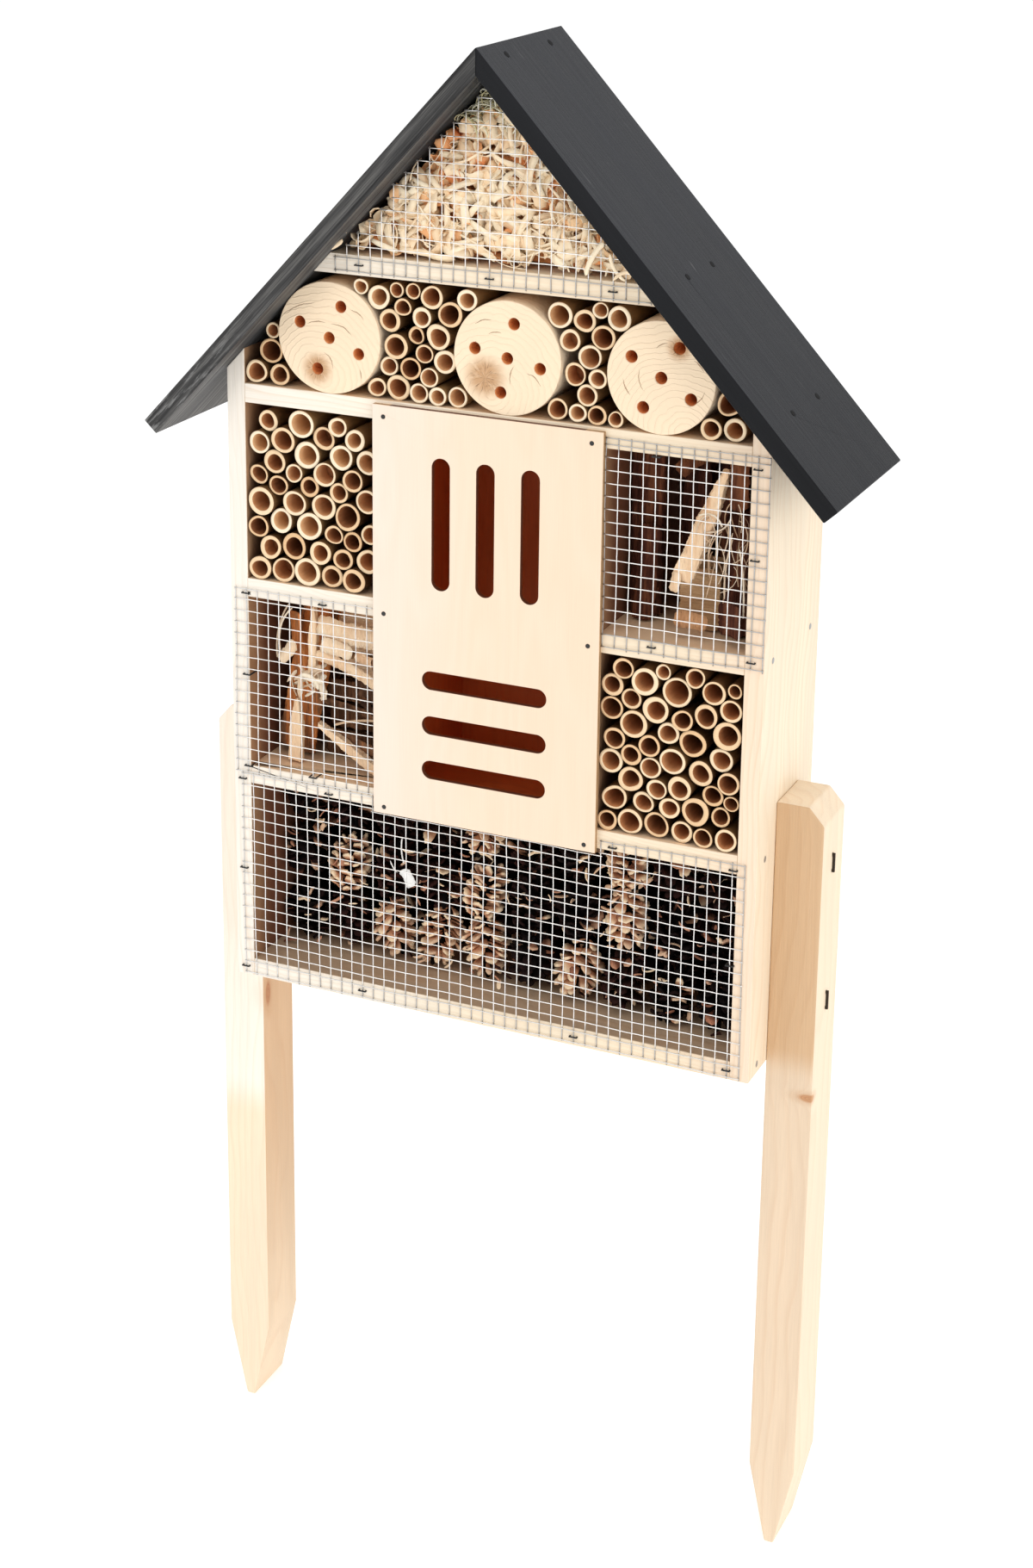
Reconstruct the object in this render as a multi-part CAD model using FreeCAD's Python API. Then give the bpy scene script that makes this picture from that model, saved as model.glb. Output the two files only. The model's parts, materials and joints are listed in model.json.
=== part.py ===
"""Insect hotel: a pitched-roof timber case of compartments on two ground stakes.

The case is a nailed frame of thin boards. Its compartments hold hollow canes, drilled logs,
bark and split wood, pine cones and wood shavings. Square wire mesh is stapled over the loose
fillings and a slotted plywood front closes the butterfly chamber.

Lengths are in millimetres. The shapes are drawn in the case's own frame: x = 0 in the middle,
y = 0 at the front edges of the boards (+y goes to the back) and z = 0 under the base board.
save_parts() moves everything so that the origin is on the ground under the middle of the object.
"""

import FreeCAD
import Part
import math
import os
import random

# ---- driving dimensions -------------------------------------------------------------------
CASE_WIDTH = 290.0            # outside the side walls
BOARD = 10.0                  # walls, shelves, dividers and base
PLY = 3.0                     # back panel and slotted front
BOARD_DEPTH = 79.0            # front edge to back edge of the boards
LOWER_SHELF_TOP = 121.0
MID_SHELF_TOP = 224.0
UPPER_SHELF_TOP = 327.0
GABLE_SHELF_TOP = 398.0
DIVIDER_CENTRE = 55.0         # distance of each divider's middle from x = 0

RIDGE_HEIGHT = 504.5          # top of the ridge above the base board's underside
ROOF_PITCH = math.radians(47.3)
ROOF_SLOPE = 270.0            # length of a roof board down the slope
ROOF_BOARD = 9.0
ROOF_DEPTH = 100.0
ROOF_OVERHANG = 18.0          # in front of the case

STAKE_WIDTH = 25.0
STAKE_DEPTH = 33.0
STAKE_SETBACK = 27.0          # front of the stake behind the front of the case
STAKE_TOP = 141.0
STAKE_BELOW = 282.0           # tip below the base board's underside
STAKE_POINT = 46.0            # height of the pointed end
STAKE_TIP = 5.0               # width left at the tip
STAKE_CHAMFER_X = 8.0
STAKE_CHAMFER_Z = 9.0

FRONT_WIDTH = 123.0           # slotted plywood front
FRONT_BOTTOM = 109.5
FRONT_TOP = 325.5
SLOT_LENGTH = 68.0
SLOT_WIDTH = 9.8
SLOT_PITCH = 24.0
UPRIGHT_SLOTS_MIDDLE = 268.0
LEVEL_SLOTS_MIDDLE = 162.0

LOG_RADII = (28.2, 28.2, 27.4)
LOG_LENGTH = 74.0
LOG_CENTRES = (-86.8, 9.5, 88.6)
LOG_TURNS = (-22.0, -11.0, -30.0)     # how far each drilling pattern is turned, in degrees
LOG_HOLE_RADIUS = 3.0
LOG_HOLE_DEPTH = 55.0
LOG_HOLE_CIRCLE = 17.5

CANE_LENGTH = 74.0
CANE_RADII = (5.3, 7.7)       # cell canes, smallest and largest
ROW_CANE_RADII = (4.8, 6.8)   # canes between the logs
GAP_CANE_RADIUS = 4.2         # thin canes pushed into the last gaps
CANE_CLEARANCE = 0.12         # air between neighbours
CANE_RECESS = 2.5             # most that a cane sits behind the front

MESH_PITCH = 6.35             # quarter-inch welded mesh
MESH_WIRE = 0.7

CONE_RADIUS = 13.0
CONE_HALF_LENGTH = 16.4
CONE_COLUMNS = 10
CONE_ROWS = 2
CONE_LAYERS = 3
CONE_ROW_STEP = 26.8          # from row to row, counted from the back panel
CONE_FRONT_DRIFT = 1.3        # how much nearer the front each next cone of the front row lies

CLEAR = 0.4                   # room left round loose fillings

# ---- derived dimensions -------------------------------------------------------------------
HALF = CASE_WIDTH / 2
INNER = HALF - BOARD
SLOPE_SIN, SLOPE_COS = math.sin(ROOF_PITCH), math.cos(ROOF_PITCH)
SLOPE_TAN = SLOPE_SIN / SLOPE_COS
ROOF_INSIDE_APEX = RIDGE_HEIGHT - ROOF_BOARD / SLOPE_COS
DIVIDER_OUTER = DIVIDER_CENTRE + BOARD / 2
DIVIDER_INNER = DIVIDER_CENTRE - BOARD / 2
CASE_BACK = BOARD_DEPTH + PLY
ORIGIN_Y = ROOF_DEPTH / 2 - ROOF_OVERHANG     # the roof is the deepest part

parts = {}
fasteners = {}


def vec(x, y, z):
    return FreeCAD.Vector(x, y, z)


def roof_underside(x):
    """Height of the roof boards' lower face above the base, at a distance x from the middle."""
    return ROOF_INSIDE_APEX - abs(x) * SLOPE_TAN


def box(x0, x1, y0, y1, z0, z1):
    return Part.makeBox(x1 - x0, y1 - y0, z1 - z0, vec(x0, y0, z0))


def prism_xz(points, y0, y1):
    """A polygon in the front plane, drawn back from y0 to y1."""
    corners = [vec(x, y0, z) for x, z in points]
    face = Part.Face(Part.makePolygon(corners + corners[:1]))
    return face.extrude(vec(0, y1 - y0, 0))


def group(solids):
    return Part.makeCompound(list(solids))


# ---- the case -----------------------------------------------------------------------------
def side_wall(side):
    outer, inner = side * HALF, side * INNER
    outline = [(outer, 0), (inner, 0), (inner, roof_underside(INNER)), (outer, roof_underside(HALF))]
    return prism_xz(outline, 0, BOARD_DEPTH)


def shelf(x0, x1, top):
    return box(x0, x1, 0, BOARD_DEPTH, top - BOARD, top)


def build_case():
    parts["left_wall"] = side_wall(-1)
    parts["right_wall"] = side_wall(1)
    parts["base_board"] = shelf(-INNER, INNER, BOARD)
    parts["lower_shelf"] = shelf(-INNER, INNER, LOWER_SHELF_TOP)
    parts["left_mid_shelf"] = shelf(-INNER, -DIVIDER_OUTER, MID_SHELF_TOP)
    parts["right_mid_shelf"] = shelf(DIVIDER_OUTER, INNER, MID_SHELF_TOP)
    parts["upper_shelf"] = shelf(-INNER, INNER, UPPER_SHELF_TOP)
    for name, side in (("left_divider", -1), ("right_divider", 1)):
        low, high = sorted((side * DIVIDER_INNER, side * DIVIDER_OUTER))
        parts[name] = box(low, high, 0, BOARD_DEPTH, LOWER_SHELF_TOP, UPPER_SHELF_TOP - BOARD)

    gable_bottom = GABLE_SHELF_TOP - BOARD
    reach_low = (ROOF_INSIDE_APEX - gable_bottom) / SLOPE_TAN
    reach_high = (ROOF_INSIDE_APEX - GABLE_SHELF_TOP) / SLOPE_TAN
    outline = [(-reach_low, gable_bottom), (reach_low, gable_bottom),
               (reach_high, GABLE_SHELF_TOP), (-reach_high, GABLE_SHELF_TOP)]
    parts["gable_shelf"] = prism_xz(outline, 0, BOARD_DEPTH)

    outline = [(-HALF, 0), (HALF, 0), (HALF, roof_underside(HALF)),
               (0, ROOF_INSIDE_APEX), (-HALF, roof_underside(HALF))]
    parts["back_panel"] = prism_xz(outline, BOARD_DEPTH, CASE_BACK)


def build_roof():
    """Two boards mitred at the ridge."""
    eave_x = ROOF_SLOPE * SLOPE_COS
    eave_z = RIDGE_HEIGHT - ROOF_SLOPE * SLOPE_SIN
    for name, side in (("roof_left", -1), ("roof_right", 1)):
        outline = [(0, RIDGE_HEIGHT), (side * eave_x, eave_z),
                   (side * (eave_x - ROOF_BOARD * SLOPE_SIN), eave_z - ROOF_BOARD * SLOPE_COS),
                   (0, ROOF_INSIDE_APEX)]
        parts[name] = prism_xz(outline, -ROOF_OVERHANG, ROOF_DEPTH - ROOF_OVERHANG)


def build_stakes():
    """Square-cut stakes, pointed below from both sides, with the outer top corner taken off."""
    for name, side in (("stake_left", -1), ("stake_right", 1)):
        inner = side * HALF
        outer = side * (HALF + STAKE_WIDTH)
        middle = (inner + outer) / 2
        shoulder = -STAKE_BELOW + STAKE_POINT
        tip = side * STAKE_TIP / 2
        outline = [(inner, STAKE_TOP), (outer - side * STAKE_CHAMFER_X, STAKE_TOP),
                   (outer, STAKE_TOP - STAKE_CHAMFER_Z), (outer, shoulder),
                   (middle + tip, -STAKE_BELOW), (middle - tip, -STAKE_BELOW), (inner, shoulder)]
        parts[name] = prism_xz(outline, STAKE_SETBACK, STAKE_SETBACK + STAKE_DEPTH)


def slot(x, z, length_x, length_z):
    """A round-ended slot through the plywood front."""
    radius = SLOT_WIDTH / 2
    reach_x = (length_x - SLOT_WIDTH) / 2
    reach_z = (length_z - SLOT_WIDTH) / 2
    middle = box(x - max(reach_x, radius), x + max(reach_x, radius), -2 * PLY, PLY,
                 z - max(reach_z, radius), z + max(reach_z, radius))
    ends = []
    for end in (-1, 1):
        start = vec(x + end * reach_x, -2 * PLY, z + end * reach_z)
        ends.append(Part.makeCylinder(radius, 3 * PLY, start, vec(0, 1, 0)))
    return middle.fuse(ends)


def build_front():
    front = box(-FRONT_WIDTH / 2, FRONT_WIDTH / 2, -PLY, 0, FRONT_BOTTOM, FRONT_TOP)
    for step in (-1, 0, 1):
        upright = slot(step * SLOT_PITCH, UPRIGHT_SLOTS_MIDDLE, SLOT_WIDTH, SLOT_LENGTH)
        level = slot(0, LEVEL_SLOTS_MIDDLE + step * SLOT_PITCH, SLOT_LENGTH, SLOT_WIDTH)
        front = front.cut([upright, level])
    parts["butterfly_front"] = front.removeSplitter()


# ---- logs and canes -----------------------------------------------------------------------
def drilled_log(x, radius, turn):
    """A short log lying front to back, with one hole in the middle and four round it."""
    z = UPPER_SHELF_TOP + radius
    log = Part.makeCylinder(radius, LOG_LENGTH, vec(x, 0, z), vec(0, 1, 0))
    places = [(0, 0)]
    for quarter in range(4):
        angle = math.radians(turn + 90 * quarter)
        places.append((LOG_HOLE_CIRCLE * math.cos(angle), LOG_HOLE_CIRCLE * math.sin(angle)))
    holes = []
    for dx, dz in places:
        start = vec(x + dx, -1, z + dz)
        holes.append(Part.makeCylinder(LOG_HOLE_RADIUS, LOG_HOLE_DEPTH + 1, start, vec(0, 1, 0)))
    return log.cut(holes)


class Space:
    """A compartment seen from the front, which is filled from the bottom with round canes."""

    def __init__(self, left, right, bottom, top, logs=(), under_roof=False):
        self.left, self.right, self.bottom, self.top = left, right, bottom, top
        self.under_roof = under_roof
        self.logs = list(logs)
        self.canes = []

    def is_free(self, x, z, radius):
        if x - radius < self.left or x + radius > self.right or z - radius < self.bottom:
            return False
        if z + radius > self.top:
            return False
        if self.under_roof and (roof_underside(x) - z) * SLOPE_COS < radius:
            return False
        for other_x, other_z, other_radius in self.logs + self.canes:
            if math.hypot(x - other_x, z - other_z) < radius + other_radius - 1e-6:
                return False
        return True

    def resting_places(self, radius):
        """Every place where a cane of this radius touches two of the walls, floor and rounds."""
        low = self.bottom + radius
        rounds = self.logs + self.canes
        places = [(self.left + radius, low), (self.right - radius, low)]
        for index, (x, z, other) in enumerate(rounds):
            reach = radius + other
            if abs(low - z) < reach:
                across = math.sqrt(reach ** 2 - (low - z) ** 2)
                places += [(x - across, low), (x + across, low)]
            for wall in (self.left + radius, self.right - radius):
                if abs(wall - x) < reach:
                    places.append((wall, z + math.sqrt(reach ** 2 - (wall - x) ** 2)))
            for x2, z2, other2 in rounds[:index]:
                gap = math.hypot(x2 - x, z2 - z)
                reach2 = radius + other2
                if gap >= reach + reach2 or gap <= abs(reach - reach2):
                    continue
                along = (reach ** 2 - reach2 ** 2 + gap ** 2) / (2 * gap)
                off = math.sqrt(reach ** 2 - along ** 2)
                unit_x, unit_z = (x2 - x) / gap, (z2 - z) / gap
                for sign in (-1, 1):
                    places.append((x + along * unit_x - sign * off * unit_z,
                                   z + along * unit_z + sign * off * unit_x))
        return places

    def fill(self, chance, smallest, largest):
        """Adds canes of random size, each in the lowest place free, until none fits."""
        misses = 0
        while misses < 12:
            radius = chance.uniform(smallest, largest)
            if misses > 6:
                radius = GAP_CANE_RADIUS
            free = [place for place in self.resting_places(radius) if self.is_free(*place, radius)]
            if not free:
                misses += 1
                continue
            x, z = min(free, key=lambda place: (round(place[1], 3), place[0]))
            self.canes.append((x, z, radius))
            misses = 0


def cane(x, z, radius, chance):
    """A hollow cane lying front to back."""
    outer = radius - CANE_CLEARANCE / 2
    bore = outer * chance.uniform(0.62, 0.72)
    start = chance.uniform(0, CANE_RECESS)
    tube = Part.makeCylinder(outer, CANE_LENGTH, vec(x, start, z), vec(0, 1, 0))
    return tube.cut(Part.makeCylinder(bore, CANE_LENGTH + 2, vec(x, start - 1, z), vec(0, 1, 0)))


def build_logs_and_canes():
    log_names = ("log_left", "log_centre", "log_right")
    for name, x, radius, turn in zip(log_names, LOG_CENTRES, LOG_RADII, LOG_TURNS):
        parts[name] = drilled_log(x, radius, turn)

    chance = random.Random(11)
    under_shelf = BOARD + CLEAR
    cell_left = Space(-INNER + CLEAR, -DIVIDER_OUTER - CLEAR, MID_SHELF_TOP, UPPER_SHELF_TOP - under_shelf)
    cell_left.fill(chance, *CANE_RADII)
    cell_right = Space(DIVIDER_OUTER + CLEAR, INNER - CLEAR, LOWER_SHELF_TOP, MID_SHELF_TOP - under_shelf)
    cell_right.fill(chance, *CANE_RADII)
    logs = [(x, UPPER_SHELF_TOP + radius, radius + CLEAR) for x, radius in zip(LOG_CENTRES, LOG_RADII)]
    row = Space(-INNER + CLEAR, INNER - CLEAR, UPPER_SHELF_TOP, GABLE_SHELF_TOP - under_shelf, logs, True)
    row.fill(chance, *ROW_CANE_RADII)

    parts["canes_left_cell"] = group(cane(*place, chance) for place in cell_left.canes)
    parts["canes_right_cell"] = group(cane(*place, chance) for place in cell_right.canes)
    limits = (-INNER,) + LOG_CENTRES + (INNER,)
    names = ("canes_row_left_end", "canes_row_left_gap", "canes_row_right_gap", "canes_row_right_end")
    for name, low, high in zip(names, limits, limits[1:]):
        parts[name] = group(cane(*place, chance) for place in row.canes if low < place[0] < high)


# ---- loose fillings -----------------------------------------------------------------------
def turned(shape, centre, angle):
    """Leans a piece in the front plane about a point, in degrees towards +x at the top."""
    return shape.rotate(vec(*centre), vec(0, 1, 0), angle)


def slab(x, y, z, width, thickness, height, lean, bow=2.0):
    """A bark slab standing on its end at x, y, z: a bowed strip, leaning by some degrees."""
    steps = 6
    front, back = [], []
    for step in range(steps + 1):
        share = step / steps
        sag = bow * (1 - (2 * share - 1) ** 2)
        front.append(vec(x + (share - 0.5) * width, y - sag, z))
        back.append(vec(x + (share - 0.5) * width, y - sag + thickness, z))
    outline = front + back[::-1]
    piece = Part.Face(Part.makePolygon(outline + outline[:1])).extrude(vec(0, 0, height))
    return turned(piece, (x, y, z), lean)


def splint(x, y, z, width, thickness, length, lean):
    """A split stick from x, y, z, narrower at its top end, leaning by some degrees."""
    half = width / 2
    outline = [(x - half, z), (x + half, z), (x + 0.9 * half, z + 0.6 * length),
               (x + 0.3 * half, z + length), (x - 0.5 * half, z + 0.97 * length),
               (x - half, z + 0.55 * length)]
    return turned(prism_xz(outline, y, y + thickness), (x, y, z), lean)


def rough_block(x0, x1, y0, y1, z0, z1, cut):
    """A broken piece of wood: a box with its four long corners split off."""
    outline = [(x0, z0 + cut), (x0 + cut, z0), (x1 - 0.6 * cut, z0), (x1, z0 + 0.8 * cut),
               (x1, z1 - cut), (x1 - 1.4 * cut, z1), (x0 + 0.7 * cut, z1), (x0, z1 - 1.2 * cut)]
    return prism_xz(outline, y0, y1)


def build_bark_and_wood():
    floor = LOWER_SHELF_TOP
    parts["bark_left"] = group([
        slab(-122, 24, floor + 2.6, 22, 4, 87, 11),
        rough_block(-108, -61, 30, 70, floor + 0.5, floor + 15, 3),
        rough_block(-106, -62, 32, 72, floor + 16, floor + 30, 3),
        rough_block(-107, -61, 30, 68, floor + 31, floor + 44, 3),
    ])
    parts["wood_left"] = group([
        rough_block(-104, -61, 28, 50, floor + 60, floor + 88, 6),
        rough_block(-99, -61, 29, 46, floor + 45.5, floor + 58, 4),
    ])
    parts["splints_left"] = group([
        splint(-116, 12, floor + 1, 8, 5, 36, 3),
        splint(-104, 10, floor + 50, 5.5, 4, 40, 2),
        splint(-66, 10, floor + 3.4, 6, 5, 42, -58),
    ])

    floor = MID_SHELF_TOP
    parts["bark_right"] = group([
        slab(70, 34, floor + 0.5, 18, 5, 91, 0),
        slab(89, 52, floor + 0.5, 17, 5, 90, 0),
        slab(107, 56, floor + 0.5, 15, 5, 88, 0),
        slab(72, 26, floor + 0.5, 12, 4, 50, 4),
        rough_block(115, 134, 20, 60, floor + 0.5, floor + 64, 4),
    ])
    parts["wood_right"] = rough_block(91, 113.5, 24, 46, floor + 0.5, floor + 33, 3)
    parts["splint_right"] = splint(98, 8, floor + 30, 11, 8, 62, 21)


def build_cones():
    """Pine cones piled against the back panel, each a plain egg shape turned its own way."""
    chance = random.Random(5)
    step_x = 2 * INNER / CONE_COLUMNS
    step_z = (LOWER_SHELF_TOP - 2 * BOARD) / CONE_LAYERS
    cones = []
    for layer in range(CONE_LAYERS):
        for row in range(CONE_ROWS):
            for column in range(CONE_COLUMNS):
                y = BOARD_DEPTH - (row + 0.5) * CONE_ROW_STEP - row * column * CONE_FRONT_DRIFT
                place = vec(-INNER + (column + 0.5) * step_x, y, BOARD + (layer + 0.5) * step_z)
                egg = Part.makeSphere(CONE_RADIUS)
                stretch = FreeCAD.Matrix()
                stretch.scale(1, 1, CONE_HALF_LENGTH / CONE_RADIUS)
                egg = egg.transformGeometry(stretch)
                egg.rotate(vec(0, 0, 0), vec(1, 0, 0), chance.uniform(-16, 16))
                egg.rotate(vec(0, 0, 0), vec(0, 1, 0), chance.uniform(-16, 16))
                egg.translate(place)
                cones.append(egg)
    parts["pine_cones"] = group(cones)


def build_shavings():
    """The gable's filling, which follows the roof, and a wad of straw pushed into the apex."""
    room = 1.0
    low = GABLE_SHELF_TOP + 0.5
    high = GABLE_SHELF_TOP + 80.0
    inside = ROOF_INSIDE_APEX - room / SLOPE_COS
    low_x, high_x = (inside - low) / SLOPE_TAN, (inside - high) / SLOPE_TAN
    outline = [(-low_x, low), (low_x, low), (high_x, high), (-high_x, high)]
    parts["wood_shavings"] = prism_xz(outline, 2, BOARD_DEPTH - 2)
    wad_low = high + 1.6
    wad_x = (inside - wad_low) / SLOPE_TAN
    outline = [(-wad_x, wad_low), (wad_x, wad_low), (0.2 * wad_x, inside - 0.2 * wad_x * SLOPE_TAN),
               (-0.2 * wad_x, inside - 0.2 * wad_x * SLOPE_TAN)]
    parts["straw_wad"] = prism_xz(outline, 0.5, 34)


# ---- wire mesh ----------------------------------------------------------------------------
def wire_places(start, end):
    """Where the wires run between a sheet's two edge wires, at the mesh pitch from the start."""
    places = [start]
    while places[-1] + 1.35 * MESH_PITCH < end:
        places.append(places[-1] + MESH_PITCH)
    return places + [end]


def mesh_sheet(xs, bottom, tops):
    """A flat square mesh. xs are its upright wires; tops gives each column's own top edge."""
    half = MESH_WIRE / 2
    outline = [(xs[0] - half, bottom - half), (xs[-1] + half, bottom - half),
               (xs[-1] + half, tops[-1] + half)]
    for column in range(len(tops) - 1, 0, -1):
        here, beyond = tops[column], tops[column - 1]
        if here != beyond:
            edge = xs[column] - half if here > beyond else xs[column] + half
            outline += [(edge, here + half), (edge, beyond + half)]
    outline.append((xs[0] - half, tops[0] + half))
    sheet = prism_xz(outline, -MESH_WIRE, 0).Faces
    front = [face for face in sheet if face.normalAt(0, 0).y < -0.9][0]
    cells = []
    for x0, x1, top in zip(xs, xs[1:], tops):
        levels = wire_places(bottom, top)
        for z0, z1 in zip(levels, levels[1:]):
            corners = [vec(x0 + half, -MESH_WIRE, z0 + half), vec(x0 + half, -MESH_WIRE, z1 - half),
                       vec(x1 - half, -MESH_WIRE, z1 - half), vec(x1 - half, -MESH_WIRE, z0 + half)]
            cells.append(Part.makePolygon(corners + corners[:1]))
    net = Part.Face([front.OuterWire] + cells)
    net.validate()
    return net.extrude(vec(0, MESH_WIRE, 0))


MESH_SIDE = HALF - 0.6        # the side meshes' outer edge wires
MESH_BY_FRONT = FRONT_WIDTH / 2 + 0.6
MESH_SIDE_LEFT = 142.4
SIDE_MESH_LEFT_BOTTOM = LOWER_SHELF_TOP - 3.4
SIDE_MESH_LEFT_TOP = MID_SHELF_TOP - 5.6
SIDE_MESH_RIGHT_BOTTOM = MID_SHELF_TOP - 6.2
SIDE_MESH_RIGHT_TOP = UPPER_SHELF_TOP - 4.4
BASE_MESH_BOTTOM = 2.0
BASE_MESH_TOP = BASE_MESH_BOTTOM + 18 * MESH_PITCH
BASE_MESH_HALF = 22 * MESH_PITCH
GABLE_MESH_BOTTOM = GABLE_SHELF_TOP - 8.0
GABLE_MESH_HALF = 13 * MESH_PITCH


def build_mesh():
    xs = wire_places(-MESH_SIDE_LEFT, -MESH_BY_FRONT)
    parts["mesh_left"] = mesh_sheet(xs, SIDE_MESH_LEFT_BOTTOM, [SIDE_MESH_LEFT_TOP] * (len(xs) - 1))
    xs = wire_places(MESH_BY_FRONT, MESH_SIDE)
    parts["mesh_right"] = mesh_sheet(xs, SIDE_MESH_RIGHT_BOTTOM, [SIDE_MESH_RIGHT_TOP] * (len(xs) - 1))

    xs = wire_places(-BASE_MESH_HALF, BASE_MESH_HALF)
    tops = []
    for x0, x1 in zip(xs, xs[1:]):
        behind_front = x1 > -MESH_BY_FRONT and x0 < MESH_BY_FRONT
        tops.append(FRONT_BOTTOM - MESH_WIRE if behind_front else BASE_MESH_TOP)
    parts["mesh_bottom"] = mesh_sheet(xs, BASE_MESH_BOTTOM, tops)

    xs = wire_places(-GABLE_MESH_HALF, GABLE_MESH_HALF)
    tops = []
    for x0, x1 in zip(xs, xs[1:]):
        limit = roof_underside(max(abs(x0), abs(x1))) - 1.5
        rows = math.floor((limit - GABLE_MESH_BOTTOM) / MESH_PITCH)
        tops.append(GABLE_MESH_BOTTOM + rows * MESH_PITCH)
    parts["mesh_gable"] = mesh_sheet(xs, GABLE_MESH_BOTTOM, tops)


# ---- nails and staples --------------------------------------------------------------------
def nail(head, direction, length, shank=0.8, head_radius=1.5, head_thickness=0.6, proud=0.0):
    """A round-headed nail. head is the middle of its head's outer face once flush."""
    way = vec(*direction).normalize()
    start = vec(*head) - way * proud
    rod = Part.makeCylinder(shank, length + proud, start, way)
    return rod.fuse(Part.makeCylinder(head_radius, head_thickness, start, way)).removeSplitter()


def staple(middle, along, into, crown, leg, wire):
    """A U-shaped staple whose crown lies on a surface, with both legs driven in."""
    along, into = vec(*along), vec(*into)
    aside = along.cross(into)
    corner = vec(*middle) - along * (crown / 2) - aside * (wire / 2) - into * wire
    reach = into * (leg + wire)
    under = into * wire
    outline = [corner, corner + along * crown, corner + along * crown + reach,
               corner + along * (crown - wire) + reach, corner + along * (crown - wire) + under,
               corner + along * wire + under, corner + along * wire + reach, corner + reach]
    return Part.Face(Part.makePolygon(outline + outline[:1])).extrude(aside * wire)


def build_nails():
    fasteners["front_nails"] = [
        nail((side * (DIVIDER_CENTRE + 0.5), -PLY, z), (0, 1, 0), 18, 0.55, 1.1, 0.5, 0.1)
        for side in (-1, 1) for z in (FRONT_BOTTOM + 3.5, (FRONT_BOTTOM + FRONT_TOP) / 2, FRONT_TOP - 6)]

    nails = []
    for side in (-1, 1):
        outer_shelves = (BOARD / 2, LOWER_SHELF_TOP - BOARD / 2, MID_SHELF_TOP - BOARD / 2,
                         UPPER_SHELF_TOP - BOARD / 2)
        for z in outer_shelves:
            nails += [nail((side * HALF, y, z), (-side, 0, 0), 28) for y in (13, 69)]
        for y in (16, 64):
            nails.append(nail((side * DIVIDER_INNER, y, MID_SHELF_TOP - BOARD / 2), (side, 0, 0), 26))
            nails.append(nail((side * DIVIDER_CENTRE, y, UPPER_SHELF_TOP), (0, 0, -1), 28))
            nails.append(nail((side * DIVIDER_CENTRE, y, LOWER_SHELF_TOP - BOARD), (0, 0, 1), 28))
    fasteners["frame_nails"] = nails

    nails = []
    for side in (-1, 1):
        into_roof = (-side * SLOPE_SIN, 0, -SLOPE_COS)
        for inside_x, depths in ((89.0, (13, 46)), (143.4, (12, 48))):
            x = inside_x + ROOF_BOARD * SLOPE_SIN
            z = roof_underside(inside_x) + ROOF_BOARD * SLOPE_COS
            nails += [nail((side * x, y, z), into_roof, 18, 0.8, 1.5) for y in depths]
    ridge_x = 5.0
    for y in (6, 57):
        head = (ridge_x, y, RIDGE_HEIGHT - ridge_x * SLOPE_TAN)
        nails.append(nail(head, (-SLOPE_SIN, 0, -SLOPE_COS), 18))
    fasteners["roof_nails"] = nails

    places = [(side * (HALF - BOARD / 2), z) for side in (-1, 1) for z in (30, 130, 230, 320)]
    places += [(x, z - BOARD / 2) for z in (BOARD, LOWER_SHELF_TOP, UPPER_SHELF_TOP, GABLE_SHELF_TOP)
               for x in (-70, 0, 70)]
    fasteners["back_nails"] = [nail((x, CASE_BACK, z), (0, -1, 0), 16, 0.55, 1.1, 0.5) for x, z in places]


def mesh_staples(start, bottom, places):
    """Staples across upright wires. places are (wire number, cell number) in a sheet."""
    across, into = (1, 0, 0), (0, 1, 0)
    return [staple((start + wire * MESH_PITCH, -MESH_WIRE, bottom + (cell + 0.5) * MESH_PITCH),
                   across, into, 4.4, 7, 0.6) for wire, cell in places]


def build_staples():
    staples = mesh_staples(-MESH_SIDE_LEFT, SIDE_MESH_LEFT_BOTTOM,
                           ((1, 0), (7, 0), (1, 15), (8, 15), (1, 8)))
    staples += mesh_staples(MESH_BY_FRONT, SIDE_MESH_RIGHT_BOTTOM,
                            ((4, 0), (12, 0), (4, 15), (12, 15), (12, 8)))
    staples += mesh_staples(-BASE_MESH_HALF, BASE_MESH_BOTTOM,
                            ((0, 0), (11, 0), (30, 0), (43, 0), (0, 9), (43, 9),
                             (0, 17), (8, 17), (33, 17), (43, 17)))
    staples += mesh_staples(-GABLE_MESH_HALF, GABLE_MESH_BOTTOM, ((2, 0), (13, 0), (23, 0)))
    fasteners["mesh_staples"] = staples

    middle = STAKE_SETBACK + STAKE_DEPTH / 2
    fasteners["stake_staples"] = [
        staple((side * (HALF + STAKE_WIDTH), middle, z), (0, 0, 1), (-side, 0, 0), 10, 32, 1.2)
        for side in (-1, 1) for z in (32, 107)]


def drive_fasteners():
    """Gives every board the exact holes of the nails and staples that run into it."""
    timber = ["left_wall", "right_wall", "base_board", "lower_shelf", "left_mid_shelf", "right_mid_shelf",
              "upper_shelf", "left_divider", "right_divider", "gable_shelf", "back_panel", "roof_left",
              "roof_right", "stake_left", "stake_right", "butterfly_front"]
    solids = [solid for group_solids in fasteners.values() for solid in group_solids]
    for name in timber:
        hits = [solid for solid in solids if solid.BoundBox.intersect(parts[name].BoundBox)]
        if hits:
            parts[name] = parts[name].cut(hits)
    for name, group_solids in fasteners.items():
        parts[name] = group(group_solids)


def save_parts():
    os.makedirs("parts", exist_ok=True)
    for name, shape in parts.items():
        shape.translate(vec(0, -ORIGIN_Y, STAKE_BELOW))
        shape.exportStep("parts/" + name + ".step")


build_case()
build_roof()
build_stakes()
build_front()
build_logs_and_canes()
build_bark_and_wood()
build_cones()
build_shavings()
build_mesh()
build_nails()
build_staples()
drive_fasteners()
save_parts()
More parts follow.
